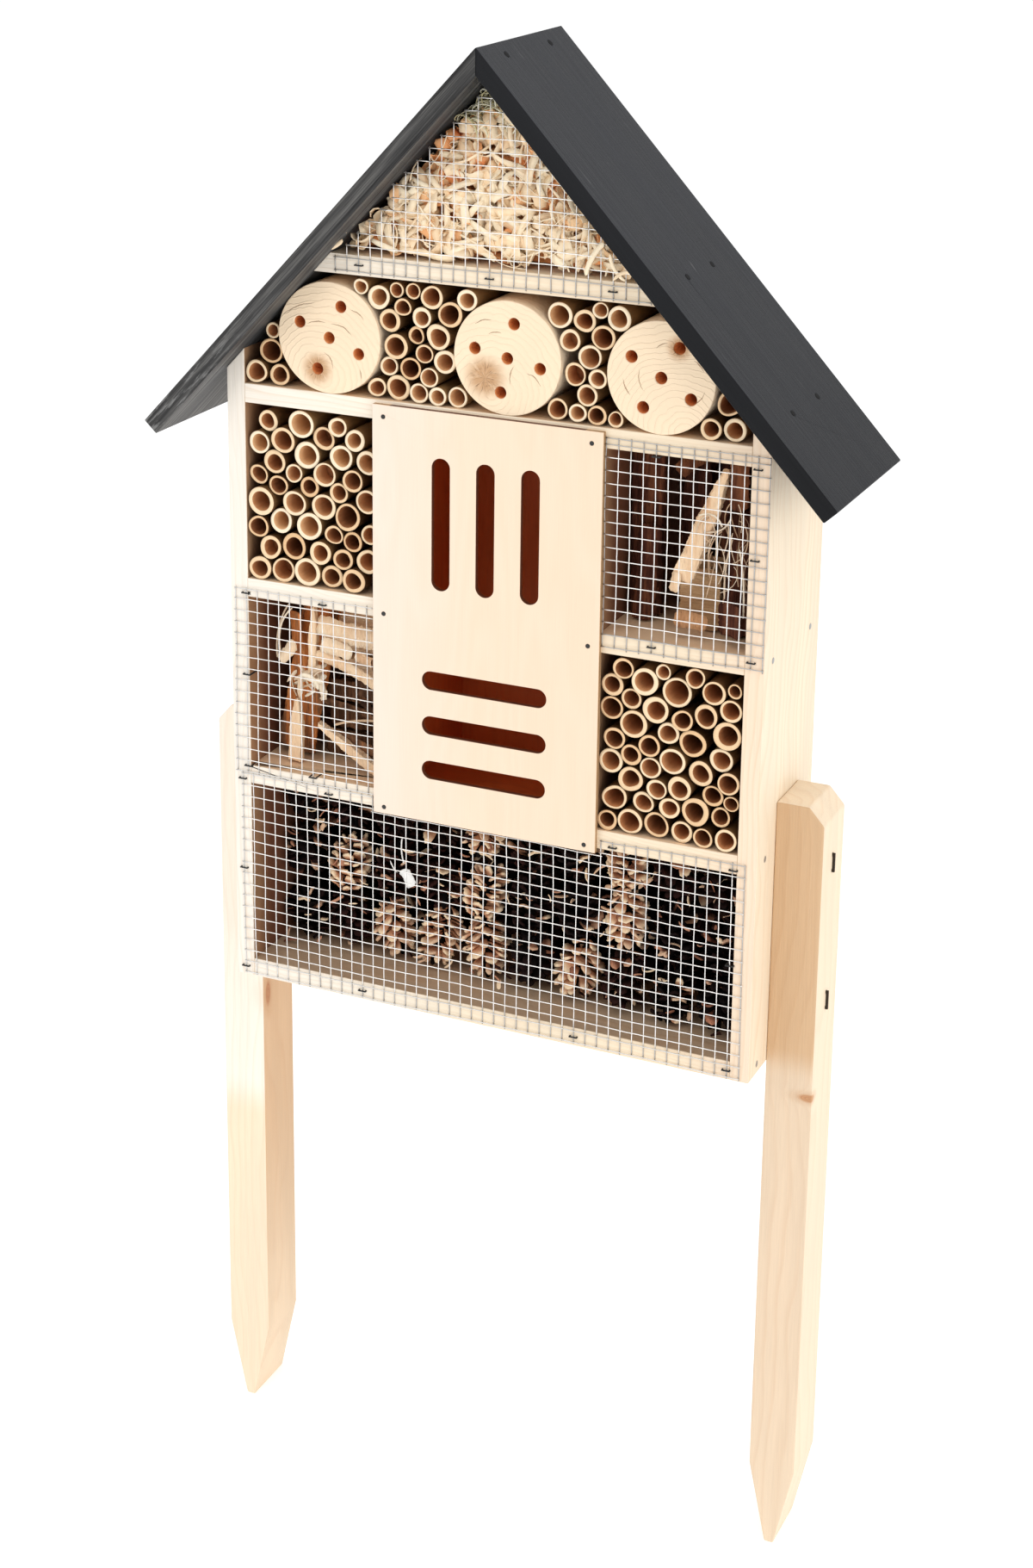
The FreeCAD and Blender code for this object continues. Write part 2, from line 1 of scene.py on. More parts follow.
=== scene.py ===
"""The looks of the insect hotel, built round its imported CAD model.

Lengths are in millimetres where a name or comment says so, and are turned into metres by MM.
x runs to the right, y to the back and z up; z = 0 is at the tips of the stakes.
"""

import itertools
import json
import random
from math import atan2, cos, floor, hypot, pi, radians, sin, sqrt, tan

import bmesh
import bpy
import numpy as np
from mathutils import Matrix, Vector, noise

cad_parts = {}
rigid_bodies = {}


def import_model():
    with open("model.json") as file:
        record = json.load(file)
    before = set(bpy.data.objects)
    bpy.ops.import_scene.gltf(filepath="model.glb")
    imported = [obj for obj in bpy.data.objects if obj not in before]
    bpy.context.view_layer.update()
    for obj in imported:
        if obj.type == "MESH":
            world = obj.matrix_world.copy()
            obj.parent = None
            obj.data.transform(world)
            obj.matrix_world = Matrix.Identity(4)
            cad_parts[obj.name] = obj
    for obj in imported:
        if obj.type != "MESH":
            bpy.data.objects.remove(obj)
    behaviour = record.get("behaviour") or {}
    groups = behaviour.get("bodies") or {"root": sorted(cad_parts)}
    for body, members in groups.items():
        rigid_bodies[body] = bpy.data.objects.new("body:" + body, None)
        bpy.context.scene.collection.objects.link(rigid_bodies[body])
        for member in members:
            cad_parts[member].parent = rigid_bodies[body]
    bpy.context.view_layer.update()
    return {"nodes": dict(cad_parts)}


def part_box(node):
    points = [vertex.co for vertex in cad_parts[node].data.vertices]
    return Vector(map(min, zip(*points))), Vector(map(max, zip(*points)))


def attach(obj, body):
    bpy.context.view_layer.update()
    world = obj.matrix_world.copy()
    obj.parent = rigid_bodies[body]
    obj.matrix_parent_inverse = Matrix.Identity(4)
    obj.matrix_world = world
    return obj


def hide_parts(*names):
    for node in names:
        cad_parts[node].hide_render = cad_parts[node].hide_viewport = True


noise.seed_set(1)  # without a seed, noise_vector differs from run to run
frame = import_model()
cad_nodes = frame["nodes"]
scene = bpy.context.scene

MM = 0.001
FRONT_Y = -32  # front edges of the boards
GROUND_TO_BASE = 282  # stake tips to the underside of the case
ROOF_PITCH = radians(47.3)
ROOF_INSIDE_APEX = 773.2  # lower meeting line of the roof boards
ROOF_FRONT = -50
ROOF_TOP_OFF_AXIS = 786.5 * cos(ROOF_PITCH)  # the roof's upper face, from the origin
MESH_PITCH = 6.35
CAD_WIRE_HALF = 0.35  # half the width of the CAD mesh's bars
CASE_INSIDE = ((-142, 142), (-31.4, 47.5), (291.5, 672))
BUTTERFLY_CHAMBER = ((-50.2, 50.2), (-31.9, 47.1), (402.8, 599.2))
GOLDEN_ANGLE = radians(137.5)
BACKWARD = np.array([0.0, 1.0, 0.0])
FORWARD = (0, -1, 0)
LEVEL_BOARDS = ("base_board", "lower_shelf", "left_mid_shelf", "right_mid_shelf", "upper_shelf",
                "gable_shelf")
UPRIGHT_BOARDS = ("left_wall", "right_wall", "left_divider", "right_divider", "back_panel")
# the boards whose front faces get painted light, paler on the left
FRONT_LIGHT_BOARDS = LEVEL_BOARDS + UPRIGHT_BOARDS[:4]


def roof_underside(x):
    return ROOF_INSIDE_APEX - np.abs(x) * tan(ROOF_PITCH)


def box_mm(name):
    return np.array(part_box(name)) / MM


# ---- materials ----
class Look:
    """A principled material, with short calls for the nodes that feed it."""

    def __init__(self, name, roughness=0.6, metallic=0, sheen=0.5):
        self.material = bpy.data.materials.new(name)
        self.material.use_nodes = True
        self.tree = self.material.node_tree
        self.surface = self.tree.nodes["Principled BSDF"]
        self.set("Roughness", roughness)
        self.set("Metallic", metallic)
        self.set("Specular IOR Level", sheen)
        self.place = self.add("TexCoord", output="Object")

    def set(self, name, value):
        self.put(self.surface.inputs[name], value)

    def put(self, socket, value):
        if isinstance(value, bpy.types.NodeSocket):
            self.tree.links.new(value, socket)
        elif socket.type == "RGBA":
            socket.default_value = (*value, 1)
        else:
            socket.default_value = value

    def add(self, kind, inputs=(), output=0, **settings):
        made = self.tree.nodes.new("ShaderNode" + kind)
        for key, value in settings.items():
            setattr(made, key, value)
        for key, value in dict(inputs).items():
            self.put(made.inputs[key], value)
        return made.outputs[output]

    def calc(self, operation, a, b=0, c=0):
        return self.add("Math", {0: a, 1: b, 2: c}, operation=operation)

    def below(self, a, b):
        return self.calc("LESS_THAN", a, b)

    def times(self, a, b):
        return self.calc("MULTIPLY", a, b)

    def scaled(self, value, factor, plus):
        return self.calc("MULTIPLY_ADD", value, factor, plus)

    def length(self, vector):
        return self.add("VectorMath", {0: vector}, output="Value", operation="LENGTH")

    def steps(self, value, low, high):
        """0 below low, 1 above high and smooth between; low may be the larger."""
        return self.add("MapRange", {"Value": value, "From Min": low, "From Max": high},
                        interpolation_type="SMOOTHSTEP")

    def blend(self, share, a, b, way="MIX"):
        return self.add("Mix", {0: share, 6: a, 7: b}, output=2, data_type="RGBA", blend_type=way)

    def over(self, colour, share, strength, tint):
        return self.blend(self.times(share, strength), colour, tint)

    def tinted(self, colour, tint, share=1):
        return self.blend(share, colour, tint, "MULTIPLY")

    def ramp(self, value, *stops):
        """Colours by value; the colour of a stop may be one number for a grey."""
        made = self.tree.nodes.new("ShaderNodeValToRGB")
        self.put(made.inputs[0], value)
        elements = made.color_ramp.elements
        while len(elements) < len(stops):
            elements.new(0.5)
        for element, (position, colour) in zip(elements, stops):
            element.position = position
            element.color = (*np.broadcast_to(colour, 3), 1)
        return made.outputs[0]

    def mapped(self, scale, turn=(0, 0, 0), shift=(0, 0, 0), source=None):
        return self.add("Mapping", {"Vector": source or self.place, "Scale": scale, "Rotation": turn,
                                    "Location": shift})

    def mm(self, turn=(0, 0, 0), shift=(0, 0, 0)):
        """Places in mm, turned and then shifted."""
        return self.mapped((1 / MM,) * 3, turn, shift)

    def from_point(self, x, z):
        """Places in mm across the front, from a point."""
        return self.mapped((1 / MM, 0, 1 / MM), shift=(-x, 0, -z))

    def axes(self, vector=None):
        made = self.tree.nodes.new("ShaderNodeSeparateXYZ")
        self.put(made.inputs[0], vector or self.place)
        return made.outputs

    def inside(self, box):
        """1 inside a box given in mm as (low, high) for x, y and z, else 0."""
        share = 1
        for value, (low, high) in zip(self.axes(), box):
            within = self.calc("COMPARE", value, (low + high) / 2 * MM, (high - low) / 2 * MM)
            share = self.times(within, share)
        return share

    def cloud(self, vector, scale=1, detail=3, roughness=0.55):
        return self.add("TexNoise", {"Vector": vector, "Scale": scale, "Detail": detail,
                                     "Roughness": roughness})

    def facing(self, side):
        """1 where the surface faces a side, else 0."""
        normal = self.add("NewGeometry", output="Normal")
        turned = self.add("VectorMath", {0: normal, 1: side}, output="Value", operation="DOT_PRODUCT")
        return self.below(0.5, turned)

    def grain(self, place, scale, detail, roughness=0.55):
        """Noise stretched by a different scale along each axis."""
        return self.cloud(self.mapped(scale, source=place), 1, detail, roughness)

    def mark(self, name):
        return self.add("Attribute", output="Fac", attribute_name=name)

    def shade(self, colour, amount, value):
        """Makes a colour lighter or darker by a 0 to 1 value, up to amount each way."""
        factor = self.scaled(value, 2 * amount, 1 - amount)
        return self.add("VectorMath", {0: colour, 3: factor}, operation="SCALE")

    def finish(self, colour, height=None, depth=0.0001, roughness=None):
        self.set("Base Color", colour)
        if roughness is not None:
            self.set("Roughness", roughness)
        if height is not None:
            self.set("Normal", self.add("Bump", {"Height": height, "Distance": depth, "Strength": 1}))
        return self.material


def painted_front_light(look, colour):
    """Painted light on the front faces: paler and bluer on the left of the house, and a little darker on its
    right as painted shade.
    """
    across = look.add("MapRange", {"Value": look.axes()[0], "From Min": -0.145, "From Max": 0.145})
    tint = look.ramp(across, (0, (1, 1.1, 1.3)), (0.3, (1, 1.06, 1.17)), (0.48, (1, 1, 1)),
                     (0.85, (0.98, 0.97, 0.95)), (1, (0.96, 0.9, 0.9)))
    return look.tinted(colour, tint, look.facing(FORWARD))


def knot_distance(look, middle, radii):
    """Distance from the middle of a knot, as a share of its radii along x, y and z. All in mm."""
    shift = tuple(-place / radius for place, radius in zip(middle, radii))
    near = look.mapped(tuple(1 / (MM * radius) for radius in radii), shift=shift)
    return look.length(near)


def timber(name, turn, seed, wood, ring, contrast=0.5, knots=(), painted_light=()):
    """Sawn softwood. turn brings the direction of its fibres onto the texture's x axis."""
    look = Look(name)
    pick = random.Random(seed).uniform
    shift = (pick(-400, 400), pick(25, 60), pick(15, 70))
    place = look.mm(turn, shift)
    wander = look.grain(place, (0.007, 0.025, 0.025), 2)
    radius = look.scaled(wander, 26, look.length(look.mapped((0, 1, 1), source=place)))
    distances = [knot_distance(look, *knot) for knot in knots]
    for distance in distances:
        radius = look.scaled(look.calc("POWER", 0.35, distance), 3.5 * ring, radius)
    turns = look.calc("FRACT", look.calc("DIVIDE", radius, ring))
    line = look.ramp(turns, (0, 0.05), (0.5, 0.12), (0.88, 1), (1, 0.1))
    fibre = look.grain(place, (0.035, 1.3, 1.3), 5)
    broad = look.grain(place, (0.006, 0.05, 0.05), 2)
    share = look.times(look.times(line, contrast), look.steps(broad, 0.1, 0.8))
    colour = look.blend(share, *wood)
    colour = look.shade(colour, 0.1, fibre)
    colour = look.shade(colour, 0.12, broad)
    for distance in distances:
        rings = look.calc("FRACT", look.times(distance, 3.2))
        heart = look.blend(rings, (0.48, 0.2, 0.07), (0.66, 0.34, 0.14))
        colour = look.over(colour, look.steps(distance, 2.4, 0.9), 0.4, (0.66, 0.4, 0.21))
        colour = look.over(colour, look.steps(distance, 1.2, 0.6), 0.85, heart)
    # Painted light and shade: each tint lightens or darkens one side between two heights.
    for side, low, high, tint in painted_light:
        share = look.times(look.facing(side), look.steps(look.axes()[2], low * MM, high * MM))
        colour = look.tinted(colour, tint, share)
    if name in FRONT_LIGHT_BOARDS:
        colour = painted_front_light(look, colour)
    # Painted shade inside the case: each board darker and redder further in, and darker and redder still in
    # the butterfly chamber.
    if name == "base_board":
        deep, outer, inner = (-0.01, 0.03), (0.58, 0.49, 0.43), (0.33, 0.18, 0.12)
    elif turn == ALONG_X:
        deep, outer, inner = (-0.01, 0.03), (0.92, 0.77, 0.66), (0.35, 0.18, 0.12)
    else:
        deep, outer, inner = (-0.031, -0.01), (0.46, 0.31, 0.22), (0.2, 0.09, 0.06)
    tint = look.blend(look.steps(look.axes()[1], *deep), outer, inner)
    chamber_painted_shade = look.tinted(colour, (0.84, 0.22, 0.06))
    colour = look.tinted(colour, tint, look.inside(CASE_INSIDE))
    colour = look.blend(look.inside(BUTTERFLY_CHAMBER), colour, chamber_painted_shade)
    height = look.scaled(line, 0.35, fibre)
    gloss = look.scaled(fibre, 0.2, 0.45)
    return look.finish(colour, height, 0.00016, gloss)


ALONG_X = (0, 0, 0)
ALONG_Z = (0, radians(90), 0)
PINE = ((0.87, 0.735, 0.555), (0.74, 0.52, 0.32))  # between its rings and on them
STAKE_PINE = ((0.87, 0.71, 0.52), (0.76, 0.54, 0.35))


def plywood_front():
    """Smooth veneer with three plies along its edges, and painted shade on the walls of its slots."""
    look = Look("plywood_front", 0.5)
    place = look.mm(ALONG_Z, (120, 60, 38))
    wander = look.grain(place, (0.004, 0.02, 0.02), 2)
    waves = look.calc("SINE", look.times(wander, 70))
    fibre = look.grain(place, (0.03, 1.6, 1.6), 4)
    colour = look.blend(look.scaled(waves, 0.05, 0.08), (0.84, 0.665, 0.505),
                        (0.74, 0.52, 0.33))
    colour = painted_front_light(look, look.shade(colour, 0.05, fibre))
    axes = look.axes()
    side = look.calc("ABSOLUTE", axes[0])
    depth = look.calc("DIVIDE", look.calc("SUBTRACT", axes[1], (FRONT_Y - 3) * MM), 3 * MM)
    within = look.times(look.below(0.04, depth), look.below(depth, 0.96))
    ply = look.calc("COMPARE", depth, 0.5, 0.17)
    edge = look.blend(ply, (0.58, 0.38, 0.2), (0.28, 0.15, 0.07))
    colour = look.blend(within, colour, edge)
    # Painted shade: the walls of the slots are near-black red-brown.
    in_slot = look.times(within, look.below(side, 52 * MM))
    colour = look.blend(in_slot, colour, (0.11, 0.032, 0.012))
    return look.finish(colour, fibre, 0.00005)


def roof_paint(name, turn, seed, front_edge, edge_shade):
    """Charcoal stain brushed along the board: streaks, thin spots, scuffs and a thin coat below.

    front_edge is 1 where the front edge has the thin coat too, and light grey flecks at its lower end:
    partly wear, partly painted glints."""
    look = Look(name, 0.5, sheen=0.15)
    place = look.mm(turn, (seed * 37, 0, 0))
    streak = look.grain(place, (0.012, 0.55, 0.55), 6, 0.65)
    patch = look.grain(place, (0.012, 0.05, 0.05), 3)
    grit = look.cloud(place, 1.4, detail=2)
    soft = look.scaled(streak, 0.35, 0.34)
    colour = look.ramp(soft, (0.25, (0.012, 0.0125, 0.014)), (0.55, (0.025, 0.026, 0.0295)),
                       (0.85, (0.058, 0.059, 0.063)))
    # Lighter towards the ridge and darker towards the eaves: painted light and shade.
    colour = look.shade(colour, 0.26, look.steps(look.axes()[2], 0.52, 0.76))
    thin_coat = look.ramp(streak, (0.34, (0.022, 0.022, 0.023)), (0.5, (0.07, 0.07, 0.071)),
                          (0.66, (0.19, 0.188, 0.183)))
    axes = look.axes(place)
    under = look.below(axes[2], ROOF_TOP_OFF_AXIS - 8.7)
    colour = look.blend(under, colour, thin_coat)
    on_front = look.below(axes[1], ROOF_FRONT + 0.25)
    edge = look.tinted(look.blend(front_edge, colour, thin_coat), edge_shade)
    colour = look.blend(on_front, colour, edge)
    colour = look.shade(colour, 0.34, patch)
    scuff = look.steps(look.grain(place, (0.05, 0.4, 0.4), 4), 0.7, 0.78)
    colour = look.over(colour, scuff, 0.35, (0.16,) * 3)
    # Light grey flecks low on the left board's front edge: partly wear, partly painted glints.
    flake_and_glint_noise = look.grain(place, (0.06, 0.5, 0.5), 6, 0.7)
    wear_and_glints = look.times(look.steps(flake_and_glint_noise, 0.5, 0.62), look.steps(look.axes()[2], 0.665, 0.6))
    wear_and_glints = look.times(look.times(wear_and_glints, on_front), 0.55 * front_edge)
    colour = look.blend(wear_and_glints, colour, (0.27, 0.27, 0.265))
    height = look.scaled(grit, 0.25, streak)
    gloss = look.scaled(patch, 0.3, 0.32)
    return look.finish(colour, height, 0.0003, gloss)


def log_end(name, x, z, seed, pith, knot, cracks):
    """Sawn end grain of a log at x, z in mm: faint rings, a stained knot and thin ring shakes.

    Everything is placed from the log's middle; a crack is both its ends and its bow."""
    look = Look(name, 0.65)
    wander = look.cloud(look.place, 55)
    radius = look.scaled(wander, 9, look.length(look.from_point(x + pith[0], z + pith[1])))
    distance = knot_distance(look, (x + knot[0], 0, z + knot[1]), (knot[2], 1e6, knot[2]))
    pull = look.calc("POWER", 0.4, distance)
    turns = look.calc("FRACT", look.calc("DIVIDE", look.scaled(pull, 7, radius), 3.1))
    line = look.ramp(turns, (0, 0), (0.6, 0.15), (0.9, 1), (1, 0.05))
    broad = look.cloud(look.place, 38, detail=4)
    saw = look.cloud(look.mapped((200, 60, 1500), turn=(0, radians(20 + 9 * seed), 0)))
    share = look.times(look.times(line, 0.13), look.steps(broad, 0.4, 0.7))
    colour = look.blend(share, (0.88, 0.7, 0.495), (0.68, 0.43, 0.24))
    colour = look.shade(colour, 0.08, broad)
    spot = look.axes(look.from_point(x + knot[0], z + knot[1]))
    polar = look.add("CombineXYZ", {0: look.calc("ARCTAN2", spot[2], spot[0]), 1: distance})
    spokes = look.grain(polar, (3.2, 1.2, 1), 4)
    stain = look.times(look.steps(distance, 1.6, 0.5), look.steps(spokes, 0.05, 0.55))
    colour = look.over(colour, stain, 0.9, (0.5, 0.27, 0.12))
    rays = look.grain(polar, (8, 1.6, 1), 3)
    split = look.times(look.steps(rays, 0.55, 0.62), look.steps(distance, 1, 0.6))
    colour = look.over(colour, split, 0.75, (0.16, 0.08, 0.04))
    height = look.scaled(saw, 0.5, line)
    jag = look.scaled(look.cloud(look.place, 300), 1.4, -0.7)
    for x0, z0, x1, z1, bow in cracks:
        half = hypot(x1 - x0, z1 - z0) / 2
        lean = atan2(z1 - z0, x1 - x0)
        centred = look.from_point(x + (x0 + x1) / 2, z + (z0 + z1) / 2)
        run = look.axes(look.mapped((1,) * 3, turn=(0, lean, 0), source=centred))
        along = look.calc("DIVIDE", run[0], half)
        taper = look.calc("SUBTRACT", 1, look.times(along, along))
        off = look.calc("SUBTRACT", look.calc("ADD", run[2], jag), look.times(taper, bow))
        gap = look.below(look.calc("ABSOLUTE", off), look.times(taper, 0.26))
        colour = look.over(colour, gap, 0.75, (0.28, 0.15, 0.07))
        height = look.scaled(gap, -2, height)
    inside = look.below((FRONT_Y + 0.5) * MM, look.axes()[1])
    bored = look.times(inside, look.below(look.length(look.from_point(x, z)), 23.5))
    bore = look.ramp(wander, (0.3, (0.72, 0.25, 0.08)), (0.7, (0.88, 0.42, 0.16)))
    colour = look.blend(bored, colour, bore)
    return look.finish(colour, height, 0.00018)


def toned(name, dark, middle, pale, grain=(400, 400, 400), roughness=0.7, depth=0.0002, vein=0.16):
    """Small natural pieces: tone picks the colour of each and fine streaks run through it."""
    look = Look(name, roughness, sheen=0.25)
    streak = look.cloud(look.mapped(grain), detail=4)
    tone = look.scaled(look.calc("SUBTRACT", streak, 0.5), vein * 2, look.mark("tone"))
    colour = look.ramp(tone, (0, dark), (0.5, middle), (1, pale))
    return look.finish(colour, streak, depth)


def bark_look(name, turn, stops, contrast=0.35, crevices=0.8):
    """Layered bark or split wood: colours change across the fibres and crevices are nearly black."""
    look = Look(name, 0.8, sheen=0.12)
    place = look.mm(turn)
    band = look.grain(place, (0.018, 0.22, 0.22), 5, 0.6)
    fine = look.grain(place, (0.08, 1.4, 1.4), 4)
    shift = look.scaled(look.calc("SUBTRACT", look.mark("tone"), 0.5), 0.8, band)
    colour = look.ramp(shift, *stops)
    colour = look.shade(colour, contrast, fine)
    crevice = look.steps(fine, 0.36, 0.28)
    colour = look.over(colour, crevice, crevices, (0.012, 0.006, 0.004))
    return look.finish(colour, look.calc("ADD", fine, band), 0.0008)


def steel_look(name, colour, roughness, painted_shade_colour=None):
    """Bright or dull steel; where its tone mark is 0 it takes the darker colour given, which is painted
    shade on wires in front of boards.
    """
    look = Look(name, roughness, 1)
    spots = look.cloud(look.place, 900)
    if painted_shade_colour:
        colour = look.blend(look.mark("tone"), painted_shade_colour, colour)
    return look.finish(look.shade(colour, 0.15, spots), spots, 0.00004,
                       look.scaled(spots, 0.25, roughness - 0.1))


# ---- mesh building ----
def mesh_of(name, points, faces):
    mesh = bpy.data.meshes.new(name)
    mesh.from_pydata(points, [], faces)
    return mesh


def in_scene(name, data):
    made = bpy.data.objects.new(name, data)
    scene.collection.objects.link(made)
    return made


class Heap:
    """Collects many small closed meshes and turns them into one piece."""

    def __init__(self):
        self.points, self.faces, self.materials = [], [], []
        self.marks = {"tone": [], "tip": []}
        self.count = 0

    def add(self, points, faces, material=0, tone=0.5, tip=0):
        self.points.append(points)
        self.faces += [tuple(index + self.count for index in face) for face in faces]
        self.materials += np.broadcast_to(material, len(faces)).tolist()
        self.marks["tone"].append(np.broadcast_to(tone, len(points)))
        self.marks["tip"].append(np.broadcast_to(tip, len(points)))
        self.count += len(points)

    def build(self, name, looks, replaces, slot):
        mesh = mesh_of(name, (np.concatenate(self.points) * MM).tolist(), self.faces)
        for key, values in self.marks.items():
            layer = mesh.attributes.new(key, "FLOAT", "POINT")
            layer.data.foreach_set("value", np.concatenate(values).astype(np.float32))
        for look in looks:
            mesh.materials.append(look)
        mesh.polygons.foreach_set("material_index", self.materials)
        mesh.shade_smooth()
        mesh.update()
        piece = in_scene(name, mesh)
        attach(piece, "root")
        if replaces:
            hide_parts(*replaces)


def islands(name):
    """The separate solids of a CAD node, as (points in mm, faces)."""
    whole = bmesh.new()
    whole.from_mesh(cad_nodes[name].data)
    bmesh.ops.remove_doubles(whole, verts=whole.verts, dist=1e-6)
    seen, found = set(), []
    for first in whole.verts:
        if first in seen:
            continue
        seen.add(first)
        members, queue = [first], [first]
        while queue:
            for edge in queue.pop().link_edges:
                for vert in edge.verts:
                    if vert not in seen:
                        seen.add(vert)
                        members.append(vert)
                        queue.append(vert)
        order = {vert: place for place, vert in enumerate(members)}
        points = np.array([vert.co for vert in members]) / MM
        faces = {face for vert in members for face in vert.link_faces}
        faces = sorted(faces, key=lambda face: face.index)
        found.append((points, [[order[vert] for vert in face.verts] for face in faces]))
    whole.free()
    return found


def unit(vectors):
    return vectors / np.maximum(np.linalg.norm(vectors, axis=-1, keepdims=True), 1e-9)


def ring_angles(sides):
    return np.arange(sides) * 2 * pi / sides


def swept(count, sides, loop=False):
    """Faces that join equal rings of points. Both ends are closed, or joined to make a loop."""
    faces = []
    for ring in range(count if loop else count - 1):
        low, high = ring * sides, (ring + 1) % count * sides
        for side in range(sides):
            beyond = (side + 1) % sides
            faces.append((low + side, low + beyond, high + beyond, high + side))
    if not loop:
        faces.append(tuple(range(sides))[::-1])
        faces.append(tuple(range((count - 1) * sides, count * sides)))
    return faces


def strip(middle, across, widths, thicknesses, cup=0):
    """A thin closed ribbon along its middle line. across is a unit vector over its width, or many."""
    along = unit(np.gradient(middle, axis=0))
    normal = unit(np.cross(along, across))
    half = (widths / 2)[:, None] * across
    thick = (np.broadcast_to(thicknesses, len(middle)) / 2)[:, None] * normal
    lift = np.broadcast_to(cup, len(middle))[:, None] * normal
    left, right = middle - half + lift, middle + half + lift
    corners = [left + thick, middle + thick, right + thick, right - thick, middle - thick, left - thick]
    points = np.stack(corners, axis=1).reshape(-1, 3)
    return points, swept(len(middle), 6)


def wire(points, radius, sides):
    """A round wire along points that run mostly along x or z."""
    along = unit(np.gradient(points, axis=0))
    across = unit(np.cross(along, BACKWARD))
    other = np.cross(along, across)
    angles = ring_angles(sides)[None, :, None]
    ring = np.cos(angles) * across[:, None, :] + np.sin(angles) * other[:, None, :]
    return (points[:, None, :] + radius * ring).reshape(-1, 3), swept(len(points), sides)


def wave(angles, pick, strength):
    """A smooth random factor round a ring, between 1 - strength and 1."""
    total = sum(np.cos(term * (angles - pick(0, 2 * pi))) * pick(0.3, 1) / term for term in (1, 2, 3))
    total = (total - total.min()) / max(total.max() - total.min(), 1e-6)
    return 1 - strength * total


# ---- canes ----
CANE_SIDES = 32
CANE_EDGE = 0.35  # rounding of the cut end


def cane_into(heap, points, chance, palest):
    """An uneven hollow cane inside its CAD tube: skin, cut ends and bore."""
    pick = chance.uniform
    low, high = points.min(0), points.max(0)
    centre_x, _, centre_z = (low + high) / 2
    radius = (high[0] - low[0]) / 2
    angles = ring_angles(CANE_SIDES)
    outer = radius * wave(angles, pick, chance.choice((0.04, 0.07, 0.07, 0.12, 0.17)))
    wall = radius * pick(0.2, 0.33)
    shift = pick(0, 2 * pi)
    lopsided = 1 + pick(0.05, 0.25) * np.cos(angles - shift)
    inner = outer - wall * lopsided * wave(angles, pick, 0.15)
    lean_x, lean_z = pick(-0.05, 0.05), pick(-0.05, 0.05)
    front, back = low[1] + 0.05 * radius, high[1]
    bend = [pick(-0.02, 0.02) * radius for _ in range(2)]

    def ring(radii, y, tilt=0):
        x, z = radii * np.cos(angles), radii * np.sin(angles)
        depth = y + tilt * (lean_x * x + lean_z * z)
        return np.stack([centre_x + x, depth, centre_z + z], axis=1)

    fray = [pick(-0.08, 0.08) for _ in angles]
    rings = [ring(outer, back), ring(outer * 0.985, (front + back) / 2 + bend[0]),
             ring(outer, front + 2, 1), ring(outer, front + CANE_EDGE, 1), ring(outer - 0.22, front, 1),
             ring(inner + 0.2, front, 1), ring(inner, front + CANE_EDGE, 1),
             ring(inner * 0.98, front + 12), ring(inner * 0.94, back)]
    for edge in (4, 5):
        rings[edge][:, 1] += fray
    faces = swept(len(rings), CANE_SIDES, loop=True)
    bands = [look for look in (0, 0, 0, 1, 1, 1, 2, 2, 1) for _ in angles]
    tone = palest * chance.random()
    heap.add(np.concatenate(rings), faces, bands, tone=tone)
    if chance.random() < 0.6:
        depth = pick(9, 45)
        plug = [ring(inner * 0.97, front + depth), ring(inner * 0.97, front + depth + 1.2)]
        heap.add(np.concatenate(plug), swept(2, CANE_SIDES), 2, tone=tone)


def build_canes():
    skin = toned("cane_skin", (0.05, 0.02, 0.007), (0.13, 0.062, 0.023), (0.25, 0.14, 0.055),
                 (900, 40, 900), 0.45)
    bore = toned("cane_bore", (0.2, 0.065, 0.022), (0.5, 0.22, 0.09), (0.74, 0.46, 0.24),
                 (700, 60, 700), 0.6)
    cut = toned("cane_cut", (0.74, 0.48, 0.26), (0.85, 0.65, 0.42), (0.92, 0.78, 0.58),
                (2200, 200, 2200), 0.7, 0.00012, 0.3)
    chance = random.Random(21)
    for name in sorted(cad_nodes):
        if name.startswith("canes_"):
            heap = Heap()
            for points, _ in islands(name):
                cane_into(heap, points, chance, 0.66 if name == "canes_right_cell" else 1)
            heap.build(name + "_cut", (skin, cut, bore), [name], "cane")


# ---- wire mesh ----
WIRE_RADIUS = 0.28
WIRE_SIDES = 7
PAINTED_LIGHT_SIDE = -110  # the wires that start left of here are paler over boards: less painted shade there, as painted light


def wire_places(start, end):
    places = [start]
    while places[-1] + 1.35 * MESH_PITCH < end:
        places.append(places[-1] + MESH_PITCH)
    return places + [end]


